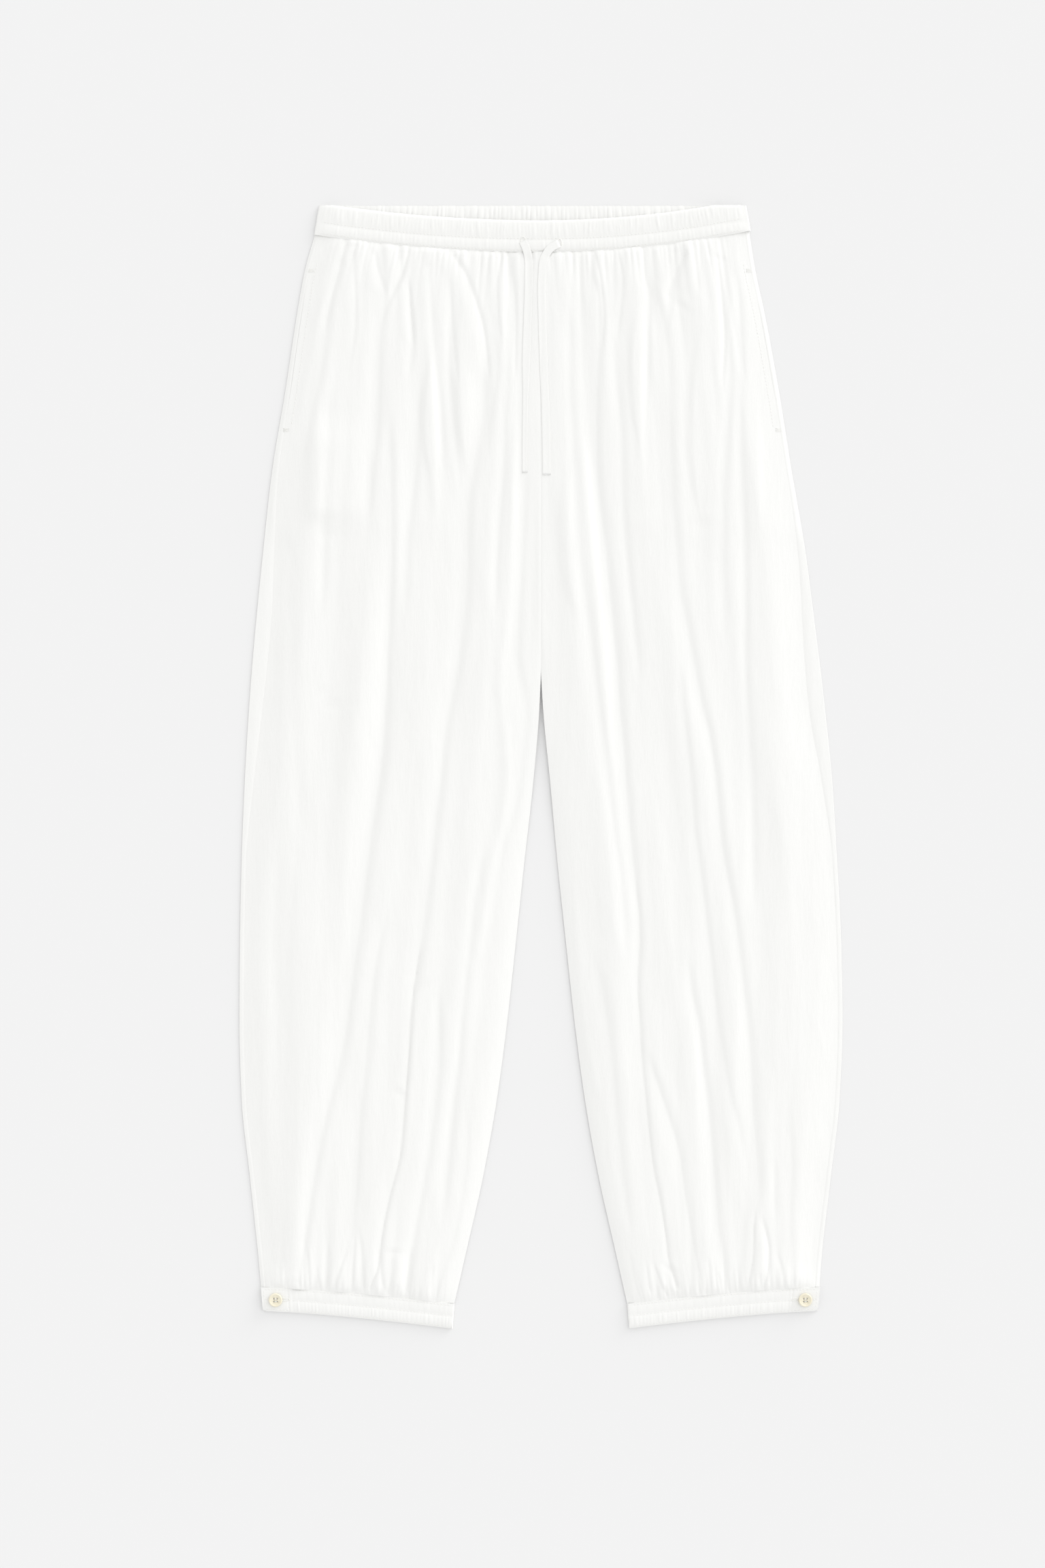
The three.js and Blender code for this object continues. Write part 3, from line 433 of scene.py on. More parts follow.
def bagUnder(leg, x, y, ease):
    inside = sectionAt(leg, y) - x * legs[leg]["side"]
    return smooth(pocket["bagBottom"] - ease, pocket["bagBottom"] + 2, y) * (
        1 - smooth(pocket["reach"] - 4, pocket["reach"] + ease, inside))


def crotchStand(y):  # the inseams stand up a little where the legs part
    return cloth["crotchStand"] * smooth(-80, 60, y)


def aboveCrotch(y):
    return smooth(*cloth["crotch"], y)


def sideRise(y):  # the side seam lies lower where neither a pocket bag nor the cuff lifts it
    overBag, atCuff = smooth(pocket["bagBottom"] - 26, pocket["bagBottom"] - 1, y), 1 - smooth(-450, -410, y)
    return lerp(cloth["sideLow"], cloth["sideHeight"], np.maximum(overBag, atCuff))


def seamPull(x):  # the stitches draw the gathers in, here more and there less
    return lerp(0.5, 1.5, 0.5 + 0.5 * np.sin(x * 0.74 + 1.7 * np.sin(x * 0.131)) * np.sin(x * 0.293 + 1))


def frontHeight(leg, x, y):  # middle of a front panel's cloth
    side = legs[leg]["side"]
    fromInner = np.maximum(x * side - sectionAt(legs[leg]["inner"], y), 0)
    fromSide = np.maximum(sideSeam(leg, y) - x * side, 0)
    fromWaist = np.maximum(frontSeam(x) - y, 0)
    fromHem = np.maximum(y - cuffSeam(leg, x), 0)
    relief = creaseRelief(leg, x, y) + crumpleRelief(leg, x, y, cloth["seed"] + side)
    relief += facetRelief(leg, x, y, cloth["seed"] + 80 + side) + puffRelief(leg, x, y)
    gathers = gatherRelief(leg, x, y, fromWaist, "waist")
    gathers += gatherRelief(leg, x, y, fromHem, "hem")
    lane = (1 - smooth(15, 27, np.abs(x))) * smooth(232, 262, y)  # the cloth lies calmer under the drawstring ends
    relief *= 1 - cloth["tieLane"] * lane
    quiet = (1 - np.exp(-fromSide / 6)) * (1 - np.exp(-fromInner / 5))
    gathers *= (1 - 0.7 * np.exp(-fromWaist / 1.6)) * (1 - 0.9 * np.exp(-fromHem / 1.6))
    middle = cloth["height"] + (relief + gathers) * (0.25 + 0.75 * quiet)
    atSeam = (cloth["height"] - cloth["seamHeight"]) * np.exp(-fromWaist / 5)
    middle -= atSeam + seamPull(x) * np.exp(-fromWaist / 0.8)
    middle -= (cloth["height"] - cloth["hemHeight"]) * np.exp(-fromHem / 4.5)
    middle += pocket["bulge"] * bagUnder(leg, x, y, 22)
    least = cloth["leastHeight"] + pocket["lift"] * bagUnder(leg, x, y, 12)
    middle = least + np.logaddexp(0, (middle - least) * 2.2) / 2.2  # a soft limit, so no valley cuts into a layer below
    inner = lerp(cloth["inseamHeight"] + crotchStand(y), cloth["rideHeight"], aboveCrotch(y))
    dip = cloth["seamDip"] * np.exp(-fromInner) * smooth(60, 110, y)  # centre front seam
    middle = lerp(inner - dip, middle, 1 - np.exp(-fromInner / lerp(12, 2.5, aboveCrotch(y))))
    mouth = smooth(pocket["bottom"], pocket["bottom"] + 30, y) * (1 - smooth(pocket["top"] - 30, pocket["top"], y))
    edge = sideRise(y) + pocket["mouthLift"] * mouth - cloth["sideDip"] * np.exp(-fromSide / 0.8)
    awayFromHem = smooth(0, 24, fromHem)
    reach, ease = lerp(cloth["hemReach"], cloth["sideReach"], awayFromHem), lerp(1, 1.5, awayFromHem)
    return lerp(edge, middle, 1 - np.exp(-((fromSide / reach) ** ease)))


def rowsDown(down):  # finer rows near both gathered seams
    return down - cloth["rowBias"] * np.sin(fullTurn * down)


def settle(leg, along, waistSeam, reachAt):  # x follows from y across the leg, and y from x between the seams
    y = lerp(waist["frontY"], legs[leg]["outerY"], along)
    x = np.zeros_like(y)
    for turn in range(5):
        x = legs[leg]["side"] * reachAt(y)
        y = lerp(waistSeam(x) - 0.02, cuffSeam(leg, x) + 0.02, along)
    return x, y


def placed(bm, x, y, z):
    for vert, vx, vy, vz in zip(bm.verts, x, y, z):
        vert.co = (vx * mm, vy * mm, vz * mm)


def gridShares(bm):
    flat = np.array([vert.co[:2] for vert in bm.verts])
    return (flat[:, 0] + 1) / 2, (flat[:, 1] + 1) / 2


def finishPiece(bm, name, finish, nodes=(), thick=0, turnOut=False):
    if turnOut:
        bmesh.ops.recalc_face_normals(bm, faces=bm.faces)
    if thick:  # cut edges stay crisp when the wall gets its thickness
        for edge in bm.edges:
            edge.smooth = not edge.is_boundary
    mesh = bpy.data.meshes.new(name)
    bm.to_mesh(mesh)
    bm.free()
    piece = addObject(name, mesh)
    mesh.materials.append(finish)
    for face in mesh.polygons:
        face.use_smooth = True
    if thick:
        wall = piece.modifiers.new("wall", "SOLIDIFY")
        wall.thickness = thick * mm
        wall.offset = 0
    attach(piece, "root")
    if nodes:
        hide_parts(*nodes)
    return piece


# node groups shared by the finishes
def newGroup(name, inputs, outputs):
    group = bpy.data.node_groups.new(name, "ShaderNodeTree")
    for label, kind, value in inputs:
        socket = group.interface.new_socket(label, in_out="INPUT", socket_type=kind)
        if value is not None:
            socket.default_value = value
    for label, kind in outputs:
        group.interface.new_socket(label, in_out="OUTPUT", socket_type=kind)
    return group, group.nodes.new("NodeGroupInput"), group.nodes.new("NodeGroupOutput")


def feed(tree, socket, value):  # a link from another node, or a plain number
    if hasattr(value, "is_output"):
        tree.links.new(value, socket)
    else:
        socket.default_value = value


def mathNode(tree, kind, a, b):
    node = tree.nodes.new("ShaderNodeMath")
    node.operation = kind
    for socket, value in zip(node.inputs, (a, b)):
        feed(tree, socket, value)
    return node.outputs[0]


def noiseNode(tree, vector, scale, detail, roughness):
    node = tree.nodes.new("ShaderNodeTexNoise")
    tree.links.new(vector, node.inputs["Vector"])
    feed(tree, node.inputs["Scale"], scale)
    node.inputs["Detail"].default_value = detail
    node.inputs["Roughness"].default_value = roughness
    return node.outputs["Fac"]


def stretched(tree, vector, scale):
    node = tree.nodes.new("ShaderNodeMapping")
    node.inputs["Scale"].default_value = scale
    tree.links.new(vector, node.inputs["Vector"])
    return node.outputs["Vector"]


def mixColours(tree, factor, low, high, target):
    mix = tree.nodes.new("ShaderNodeMix")
    mix.data_type = "RGBA"
    mix.inputs["A"].default_value, mix.inputs["B"].default_value = (*low, 1), (*high, 1)
    tree.links.new(factor, mix.inputs["Factor"])
    tree.links.new(mix.outputs["Result"], target)


def spreadValues(tree, value, low, high, target):
    ramp = tree.nodes.new("ShaderNodeMapRange")
    ramp.inputs["To Min"].default_value, ramp.inputs["To Max"].default_value = low, high
    tree.links.new(value, ramp.inputs["Value"])
    tree.links.new(ramp.outputs["Result"], target)


def bumpNode(tree, height, depth, target):
    bump = tree.nodes.new("ShaderNodeBump")
    bump.inputs["Distance"].default_value = depth * mm
    tree.links.new(height, bump.inputs["Height"])
    tree.links.new(bump.outputs["Normal"], target)
    return bump.inputs["Normal"]


def newMaterial(name):
    material = bpy.data.materials.new(name)
    material.use_nodes = True
    tree = material.node_tree
    return material, tree, tree.nodes["Principled BSDF"], tree.nodes.new("ShaderNodeTexCoord").outputs["Object"]


def weaveGroup():  # plain weave: warp and weft threads, with slubs
    group, entry, out = newGroup("plainWeave", [("Vector", "NodeSocketVector", None),
                                                ("Threads", "NodeSocketFloat", 600.0)],
                                 [("Height", "NodeSocketFloat"), ("ToneAndShade", "NodeSocketFloat")])
    bands = []
    for direction in ("X", "Y"):
        wave = group.nodes.new("ShaderNodeTexWave")
        wave.bands_direction = direction
        wave.inputs["Distortion"].default_value = 0.6
        wave.inputs["Detail"].default_value = 1
        group.links.new(entry.outputs["Vector"], wave.inputs["Vector"])
        group.links.new(entry.outputs["Threads"], wave.inputs["Scale"])
        bands.append(wave.outputs["Fac"])
    slub = noiseNode(group, stretched(group, entry.outputs["Vector"], (1, 0.12, 1)), 900, 2, 0.6)
    crossed = mathNode(group, "MULTIPLY", bands[0], bands[1])
    group.links.new(mathNode(group, "ADD", crossed, mathNode(group, "MULTIPLY", slub, 0.7)), out.inputs["Height"])
    # the colour output is lighter where the weave's Height is high (thread crossings and slubs) and darker in the
    # hollows between threads: painted shade, with a little random slub tone
    group.links.new(mathNode(group, "ADD", mathNode(group, "MULTIPLY", slub, 0.5),
                             mathNode(group, "MULTIPLY", crossed, 0.5)), out.inputs["ToneAndShade"])
    return group


def crumpleGroup():  # fine wrinkles that run down the cloth, and broad ones
    group, entry, out = newGroup("softCrumple", [("Vector", "NodeSocketVector", None),
                                                 ("Size", "NodeSocketFloat", 60.0)],
                                 [("Height", "NodeSocketFloat"), ("Patch", "NodeSocketFloat")])
    fine = noiseNode(group, stretched(group, entry.outputs["Vector"], (1, 0.22, 1)), entry.outputs["Size"], 4, 0.55)
    broad = noiseNode(group, stretched(group, entry.outputs["Vector"], (0.3, 0.12, 0.3)), entry.outputs["Size"],
                      2, 0.5)
    group.links.new(mathNode(group, "ADD", fine, broad), out.inputs["Height"])
    # the broad wrinkles also colour the cloth, darker in their low parts and lighter on their crests: painted shade;
    # they vary the roughness as well
    group.links.new(broad, out.inputs["Patch"])
    return group


weave, crumple = weaveGroup(), crumpleGroup()


def clothFinish(name, light, shade, roughness, threads, wrinkle, weaveDepth, wrinkleDepth, sheen):
    material, tree, shader, place = newMaterial(name)
    threadsNode, wrinkleNode = tree.nodes.new("ShaderNodeGroup"), tree.nodes.new("ShaderNodeGroup")
    threadsNode.node_tree, wrinkleNode.node_tree = weave, crumple
    threadsNode.inputs["Threads"].default_value = threads
    wrinkleNode.inputs["Size"].default_value = wrinkle
    for node in (threadsNode, wrinkleNode):
        tree.links.new(place, node.inputs["Vector"])
    patch = wrinkleNode.outputs["Patch"]
    # the base colour runs from the shaded to the lit colour with the weave's tone and the broad wrinkles: painted shade
    # in the hollows of weave and wrinkles, painted light on their crests
    toneAndPaintedShade = mathNode(tree, "MULTIPLY", mathNode(tree, "ADD", threadsNode.outputs["ToneAndShade"], patch), 0.7)
    mixColours(tree, toneAndPaintedShade, shade, light, shader.inputs["Base Color"])
    spreadValues(tree, patch, roughness - 0.06, roughness + 0.05, shader.inputs["Roughness"])
    overWrinkles = bumpNode(tree, threadsNode.outputs["Height"], weaveDepth, shader.inputs["Normal"])
    bumpNode(tree, wrinkleNode.outputs["Height"], wrinkleDepth, overWrinkles)
    shader.inputs["Sheen Weight"].default_value = sheen
    shader.inputs["Sheen Roughness"].default_value = 0.5
    shader.inputs["Specular IOR Level"].default_value = 0.25
    return material


# painted lit and painted shaded colour (lit on raised threads and wrinkle crests, shaded in their hollows), roughness,
# threads, size of wrinkles, depth of weave and of wrinkles, sheen
cotton = clothFinish("cottonCloth", (0.872, 0.872, 0.857), (0.846, 0.846, 0.829), 0.86, 620, 130, 0.03, 0.4, 0.08)
pocketing = clothFinish("pocketingCloth", (0.90, 0.90, 0.88), (0.87, 0.87, 0.85), 0.88, 760, 60, 0.03, 0.4, 0.05)
ribbed = clothFinish("waistbandCloth", (0.870, 0.870, 0.853), (0.840, 0.840, 0.821), 0.87, 620, 110, 0.03, 0.35, 0.08)
cuffCloth = clothFinish("cuffCloth", (0.871, 0.871, 0.855), (0.842, 0.842, 0.824), 0.86, 620, 110, 0.03, 0.3, 0.08)
tapeCloth = clothFinish("tieCloth", (0.872, 0.872, 0.857), (0.845, 0.845, 0.826), 0.82, 700, 160, 0.03, 0.2, 0.1)
thread = clothFinish("sewingThread", (0.92, 0.918, 0.89), (0.86, 0.855, 0.82), 0.6, 2400, 500, 0.03, 0.05, 0.1)


def buttonFinish():  # cream, with the cloudy swirl of horn
    material, tree, shader, place = newMaterial("creamButton")
    swirl = noiseNode(tree, stretched(tree, place, (1, 0.45, 1)), 260, 3, 0.55)
    fine = noiseNode(tree, place, 1800, 2, 0.5)
    mixColours(tree, swirl, (0.77, 0.70, 0.52), (0.90, 0.86, 0.72), shader.inputs["Base Color"])
    spreadValues(tree, fine, 0.28, 0.45, shader.inputs["Roughness"])
    bumpNode(tree, fine, 0.02, shader.inputs["Normal"])
    shader.inputs["Coat Weight"].default_value = 0.25
    shader.inputs["Coat Roughness"].default_value = 0.2
    return material


buttonCream = buttonFinish()
print("finishes made")

# drawstring: two free ends of a flat tie that lie on the fronts
tie = {
    "width": 7.0, "thick": 0.42, "clear": 0.03, "drape": 0.9, "steps": 90, "bandHeight": 5.0, "hem": 9.0,
    "length": 202, "around": 20, "roundness": 0.55, "doubled": 0.36, "stitchDip": 0.06,
    "left": ([-15.5, -12.2, -10.8, -10.6, -11.4, -12.6, -13.4, -13.9, -14.0],
             [455, 447, 440, 424, 392, 356, 320, 285, 254.5]),
    "right": ([16, 9, 3.2, 1, 1.2, 2.4, 3.8, 4.7, 5], [453, 449.4, 441, 424, 388, 350, 312, 280, 252.5]),
}


def smoothLine(points, count, fine=600):  # even points on a smooth curve through the given ones
    points = np.asarray(points, float)
    chord = np.append(0, np.cumsum(np.linalg.norm(np.diff(points, axis=0), axis=1)))
    slope = np.gradient(points, chord, axis=0)
    dense = np.linspace(0, chord[-1], fine)
    row = np.clip(np.searchsorted(chord, dense, side="right") - 1, 0, len(chord) - 2)
    span = (chord[row + 1] - chord[row])[:, None]
    s = ((dense - chord[row]) / span[:, 0])[:, None]
    line = hermite(s, span, points[row], slope[row], points[row + 1], slope[row + 1])
    length = np.append(0, np.cumsum(np.linalg.norm(np.diff(line, axis=0), axis=1)))
    even = np.linspace(0, length[-1], count)
    return np.column_stack([np.interp(even, length, line[:, axis]) for axis in range(line.shape[1])]), length[-1]


def clothTop(x, y):
    leftTop = frontHeight("left", np.minimum(x, -0.2), y)
    rightTop = frontHeight("right", np.maximum(x, 0.2), y)
    onPanel = np.where(x < 0, leftTop, rightTop) + cloth["thick"] / 2
    return lerp(onPanel, tie["bandHeight"], smooth(-8, -1, y - frontSeam(x)))


def makeTie(leg):
    flat, _ = smoothLine(np.column_stack(tie[leg]), tie["steps"] + 1)
    heading = np.gradient(flat, axis=0)
    heading /= np.linalg.norm(heading, axis=1)[:, None]
    sideways = np.column_stack([-heading[:, 1], heading[:, 0]])
    tops = []
    for across in np.linspace(-0.5, 0.5, 7):
        spot = flat + sideways * across * tie["width"]
        tops.append(clothTop(spot[:, 0], spot[:, 1]))
    top = np.max(tops, axis=0)
    for turn in range(3):  # the tape bridges the small gathers
        top = np.maximum(top, np.convolve(np.pad(top, 2, mode="edge"), np.ones(5) / 5, mode="valid"))
    top = np.convolve(np.pad(top, 3, mode="edge"), np.ones(7) / 7, mode="valid")
    middle = top + tie["clear"] + tie["thick"] / 2
    bm = bmesh.new()
    bmesh.ops.create_grid(bm, x_segments=tie["around"], y_segments=tie["steps"], size=1)
    around, along = gridShares(bm)
    spot = along * tie["steps"]
    angle = around * fullTurn
    fromEnd = (1 - along) * tie["length"]
    folded = smooth(0.5, 0.68, along) if leg == "left" else 0 * along  # the lower part of this one is doubled over
    atHem = tie["stitchDip"] * np.exp(-((fromEnd - tie["hem"]) / 1.2) ** 2)
    wide = tie["width"] / 2 * (1 - atHem) * (1 - tie["doubled"] * folded)
    thick = tie["thick"] / 2 * np.where((fromEnd < tie["hem"]) | (folded > 0.5), 1.0, 0.78)
    cosine, sine = np.cos(angle), np.sin(angle)
    across = wide * np.sign(cosine) * np.abs(cosine) ** tie["roundness"]
    up = thick * np.sign(sine) * np.abs(sine) ** tie["roundness"]
    up = up - 0.12 * np.exp(-(across / 0.8) ** 2) * (sine > 0)  # the tape is folded, with a shallow middle
    lineX, lineY, turnX, turnY, height = (np.interp(spot, np.arange(tie["steps"] + 1), values)
                                          for values in (*flat.T, *sideways.T, middle))
    x, y = lineX + turnX * across, lineY + turnY * across
    draped = clothTop(x, y) + tie["clear"] + tie["thick"] / 2
    placed(bm, x, y, lerp(height, draped, tie["drape"]) + up)
    bmesh.ops.remove_doubles(bm, verts=bm.verts, dist=0.00001)
    ends = [edge for edge in bm.edges if edge.is_boundary]
    bmesh.ops.holes_fill(bm, edges=ends, sides=0)
    piece = finishPiece(bm, f"drawstring_{leg}", tapeCloth, [f"tie_{leg}"], turnOut=True)


for leg in legs:
    makeTie(leg)


# front panels
def makeFront(leg):
    bm = bmesh.new()
    bmesh.ops.create_grid(bm, x_segments=cloth["columns"], y_segments=cloth["rows"], size=1)
    across, down = gridShares(bm)
    inner = legs[leg]["inner"]
    x, y = settle(leg, rowsDown(down), frontSeam,
                  lambda at: lerp(sectionAt(inner, at) - 0.14, sideSeam(leg, at), across))
    placed(bm, x, y, frontHeight(leg, x, y))
    return finishPiece(bm, f"frontPanel_{leg}", cotton, [f"front_{leg}"], cloth["thick"], turnOut=True)


fronts = {leg: makeFront(leg) for leg in legs}
print("front panels laid")

# back panels: flat below, turned up and over at the side as far as the side seam
back = {
    "columns": 84, "rows": 170, "flatShare": 0.74, "turnShare": 0.9, "radius": 0.24, "low": 0.23,
    "gathers": 40, "most": 1.4, "inseamRise": 0.38, "crown": 0.018, "dip": 0.16, "seed": 90,
}
backCreases = [  # share of the leg's width at waist, knee and hem, width, depth
    (0.16, 0.20, 0.30, 9, 1.2), (0.34, 0.33, 0.42, 7, 0.9), (0.47, 0.52, 0.50, 11, 1.3),
    (0.66, 0.61, 0.63, 8, 1.0), (0.83, 0.80, 0.72, 10, 1.2), (0.26, 0.27, 0.36, 5, 0.7), (0.57, 0.70, 0.86, 6, 0.8),
]


def backRise(leg, x, y, share, wide):
    along = (waist["backY"] - y) / (waist["backY"] - legs[leg]["outerY"])
    rise = np.zeros_like(x)
    turned = legs[leg]["side"]
    for index, (top, middle, bottom, width, depth) in enumerate(backCreases):
        centre = np.interp(along, (0, 0.5, 1), (top, middle + 0.03 * turned, bottom))
        centre = centre + 0.012 * np.sin(along * 7 + index * 2)
        t = (share - centre) * wide / width
        uneven = 0.65 + 0.35 * np.sin(along * (5 + index) + index * 1.9 + turned)
        rise += depth * uneven * np.exp(-t * t)
    rng = np.random.RandomState(back["seed"] + legs[leg]["side"])
    for index in range(back["gathers"]):
        place, length = (index + rng.uniform(0.2, 0.8)) / back["gathers"], rng.uniform(16, 60)
        for distance in (backSeam(x) - y, y - cuffSeam(leg, x)):
            t = (share - place) * wide / rng.uniform(1.4, 2.4)
            rise += 0.6 * np.clip(1 - distance / length, 0, 1) * np.exp(-t * t)
    return np.clip(rise, 0, back["most"]) * (1 - 0.5 * bagUnder(leg, x, y, 20))


def makeBack(leg):
    side, strip, inner = (legs[leg][key] for key in ("side", "strip", "inner"))
    bm = bmesh.new()
    bmesh.ops.create_grid(bm, x_segments=back["columns"], y_segments=back["rows"], size=1)
    across, down = gridShares(bm)
    flat = np.clip(across / back["flatShare"], 0, 1)
    outer = back["radius"] + cloth["thick"] / 2
    x, y = settle(leg, rowsDown(down), backSeam,
                  lambda at: lerp(sectionAt(inner, at), sectionAt(leg, at) - outer, flat))
    outline = sectionAt(leg, y)
    fromInner = np.abs(x) - sectionAt(inner, y)
    inside = np.clip((1 - flat) * 7 - 0.4, 0, 1)  # no folds close to the side
    z = back["low"] + backRise(leg, x, y, flat, outline) * (1 - np.exp(-fromInner / 8)) * inside
    z = z + (back["inseamRise"] + crotchStand(y)) * np.exp(-fromInner / 2.6) * (1 - aboveCrotch(y))
    turning = across > back["flatShare"]
    turn = np.clip((across - back["flatShare"]) / (back["turnShare"] - back["flatShare"]), 0, 1)
    over = np.clip((across - back["turnShare"]) / (1 - back["turnShare"]), 0, 1)
    angle = math.pi * (turn - 0.5)
    centre = outline - outer
    reach = centre + back["radius"] * np.cos(angle)
    seam = outline - sectionAt(strip, y) + 0.02
    reach = np.where(over > 0, lerp(centre, seam, over), reach)
    tall = back["low"] + back["radius"] * (1 + np.sin(angle))
    tall = tall + (sideRise(y) - back["low"] - 2 * back["radius"]) * smooth(0, 1, over) ** 0.7
    crown = back["crown"] * (centre - seam) * np.sin(math.pi * over)
    tall = tall + (crown - back["dip"] * np.exp(-(reach - seam) / 0.8)) * (over > 0)
    x, z = np.where(turning, side * reach, x), np.where(turning, tall, z)
    placed(bm, x, y, z)
    return finishPiece(bm, f"backPanel_{leg}", cotton, [f"back_{leg}"], cloth["thick"], turnOut=True)


backs = {leg: makeBack(leg) for leg in legs}
print("back panels laid")


# pocket bags, flat between front and back
def makeBag(leg):
    side = legs[leg]["side"]
    bm = bmesh.new()
    bmesh.ops.create_grid(bm, x_segments=pocket["columns"], y_segments=pocket["rows"], size=1)
    across, down = gridShares(bm)
    y = lerp(pocket["bagTop"], pocket["bagBottom"], down)
    outer = sectionAt(leg, y) - pocket["inset"]
    into = np.clip(pocket["bagBottom"] + pocket["corner"] - y, 0, pocket["corner"])
    cut = pocket["corner"] - np.sqrt(pocket["corner"] ** 2 - into**2)
    x = side * lerp(sectionAt(leg, y) - pocket["reach"] + cut, outer, across)
    edge = np.minimum(np.minimum(across, 1 - across) * pocket["wide"], np.minimum(down, 1 - down) * pocket["long"])
    seamRidge = 0.12 * np.exp(-(((edge - 6) / 2) ** 2))
    z = pocket["low"] + pocket["thick"] / 2 + seamRidge - 0.05 * np.exp(-edge / 2)
    z = z - pocket["sink"] * (1 - smooth(*pocket["thinSide"], outer - x * side))  # lower where the leg's side is thin
    placed(bm, x, y, z)
    return finishPiece(bm, f"pocketBag_{leg}", pocketing, [f"pocket_bag_{leg}"], pocket["wall"],
                       turnOut=True)


bags = {leg: makeBag(leg) for leg in legs}
print("pocket bags laid")

# waistband: one ring, ribbed by the elastic in its upper channel
band = {
    "columns": 1040, "rows": 18, "thick": 1.0, "frontHeight": 3.85, "backHeight": 0.62, "turn": 0.02,
    "stitchLine": 0.4, "ribs": 124, "backRibs": 84, "rib": 0.56, "lowRib": 0.42, "puff": 0.35, "slant": 0.022,
    "endDrop": 1.3, "endShare": 34, "endQuiet": 40, "uneven": 0.35, "backUneven": 0.3, "seed": 31,
    "topDrop": 0.8, "bottomDrop": 0.6,
}


def ribs(count, seed, along, up=0.5, sharpness=0.6):  # rounded ribs of uneven width between sharp valleys
    rng = np.random.RandomState(seed)
    widths = rng.uniform(0.6, 1.5, count)
    edges = np.append(0, np.cumsum(widths)) / widths.sum()
    sizes = rng.uniform(0.55, 1.0, count)
    index = np.clip(np.searchsorted(edges, along, side="right") - 1, 0, count - 1)
    part = (along - edges[index]) / (edges[index + 1] - edges[index])
    phases = rng.uniform(0, 6.28, count)
    uneven = 0.72 + 0.28 * np.sin(up * 4.5 + phases[index])
    return sizes[index] * uneven * np.clip(4 * part * (1 - part), 0, 1) ** sharpness


def makeBand():
    bm = bmesh.new()
    bmesh.ops.create_grid(bm, x_segments=band["columns"], y_segments=band["rows"], size=1)
    around, up = gridShares(bm)
    half, turn = 0.5 - band["turn"], band["turn"]
    middle = (band["frontHeight"] - band["endDrop"] + band["backHeight"]) / 2
    radius = (band["frontHeight"] - band["endDrop"] - band["backHeight"]) / 2
    leftX, rightX = waist["left"] + radius + band["thick"] / 2, waist["right"] - radius - band["thick"] / 2
    onBack, onFront = around < half, (around >= 0.5) & (around < 0.5 + half)
    atRight = (around >= half) & (around < 0.5)
    backAlong, frontAlong = np.clip(around / half, 0, 1), np.clip((around - 0.5) / half, 0, 1)
    angleRight = math.pi * (np.clip((around - half) / turn, 0, 1) - 0.5)
    angleLeft = math.pi * (np.clip((around - 0.5 - half) / turn, 0, 1) - 0.5)
    x = np.where(onBack, lerp(leftX, rightX, backAlong), 0)
    x = np.where(onFront, lerp(rightX, leftX, frontAlong), x)
    x = np.where(atRight, rightX + radius * np.cos(angleRight), x)
    x = np.where(~(onBack | onFront | atRight), leftX - radius * np.cos(angleLeft), x)
    drop = band["endDrop"] * (np.exp(-frontAlong * band["endShare"]) + np.exp(-(1 - frontAlong) * band["endShare"]))
    z = np.where(onBack, band["backHeight"], band["frontHeight"] - drop)
    z = np.where(atRight, middle + radius * np.sin(angleRight), z)
    z = np.where(~(onBack | onFront | atRight), middle - radius * np.sin(angleLeft), z)
    bottom = np.where(onFront | ~onBack, frontSeam(x), backSeam(x))
    top = np.where(onFront, bandTop(x), waist["top"])
    line = band["stitchLine"]
    low = np.sin(math.pi * np.clip(up / line, 0, 1))
    high = np.sin(math.pi * np.clip((up - line) / (1 - line), 0, 1)) ** 0.7
    nearEnd = np.minimum(np.minimum(frontAlong, 1 - frontAlong) * band["endQuiet"], 1)
    nearBackEnd = np.minimum(np.minimum(backAlong, 1 - backAlong) * band["endQuiet"], 1)
    wobble = 0.004 * np.sin(up * 5 + frontAlong * 60)
    fine = ribs(band["ribs"], band["seed"], np.clip(frontAlong + wobble * 0.4, 0, 1), up, 0.45)
    coarse = ribs(band["ribs"] * 3 // 4, band["seed"] + 1, frontAlong, up, 0.5)
    front = low * (band["puff"] + band["lowRib"] * coarse) + high * (0.3 + band["rib"] * fine)
    front = front - band["topDrop"] * np.clip((up - 0.95) / 0.05, 0, 1) ** 2
    front = front - band["bottomDrop"] * np.clip((0.05 - up) / 0.05, 0, 1)
    inside = ribs(band["backRibs"], band["seed"] + 2, backAlong, up, 0.5)
    inward = (0.35 * low + high) * (0.15 + 0.95 * inside) * nearBackEnd
    z = z + np.where(onFront, front * nearEnd, 0) + np.where(onBack, inward, 0)
    uneven = band["uneven"] * (fine - 0.5) * onFront + band["backUneven"] * (inside - 0.5) * onBack
    y = lerp(bottom + 0.02, top - 0.2 + uneven, up)
    placed(bm, x * (1 + band["slant"] * (1 - up)), y, z)
    bmesh.ops.remove_doubles(bm, verts=bm.verts, dist=0.00002)
    return finishPiece(bm, "waistbandRing", ribbed, ["waistband"], band["thick"], turnOut=True)


waistbandRing = makeBand()
print("waistband made")

# cuffs: a strip round each leg, from its buttoned end round the inseam and back underneath
cuff = {
    "columns": 420, "rows": 16, "thick": 0.9, "height": 20.6, "front": 2.35, "back": 0.5, "frontShare": 0.66,
    "turnShare": 0.71, "tab": 26, "tabStep": 0.2, "groove": 0.3, "ribs": 42, "rib": 0.42, "upperRib": 0.28,
    "stitchLine": 0.5, "corner": 1.4, "rimDrop": 0.8, "hiddenRibs": 36, "seed": 60, "hiddenSeed": 77,
}


def cuffPlace(leg, reach, down):
    cut = legs[leg]
    share = np.clip((cut["outer"] - reach) / (cut["outer"] - cut["cuffInner"]), 0, 1)
    height = cuff["height"] + 0.7 * share
    lean = (share - 0.5) * cut["lean"]
    return cut["side"] * (reach + lean * down), cuffSeam(leg, reach) - down * height


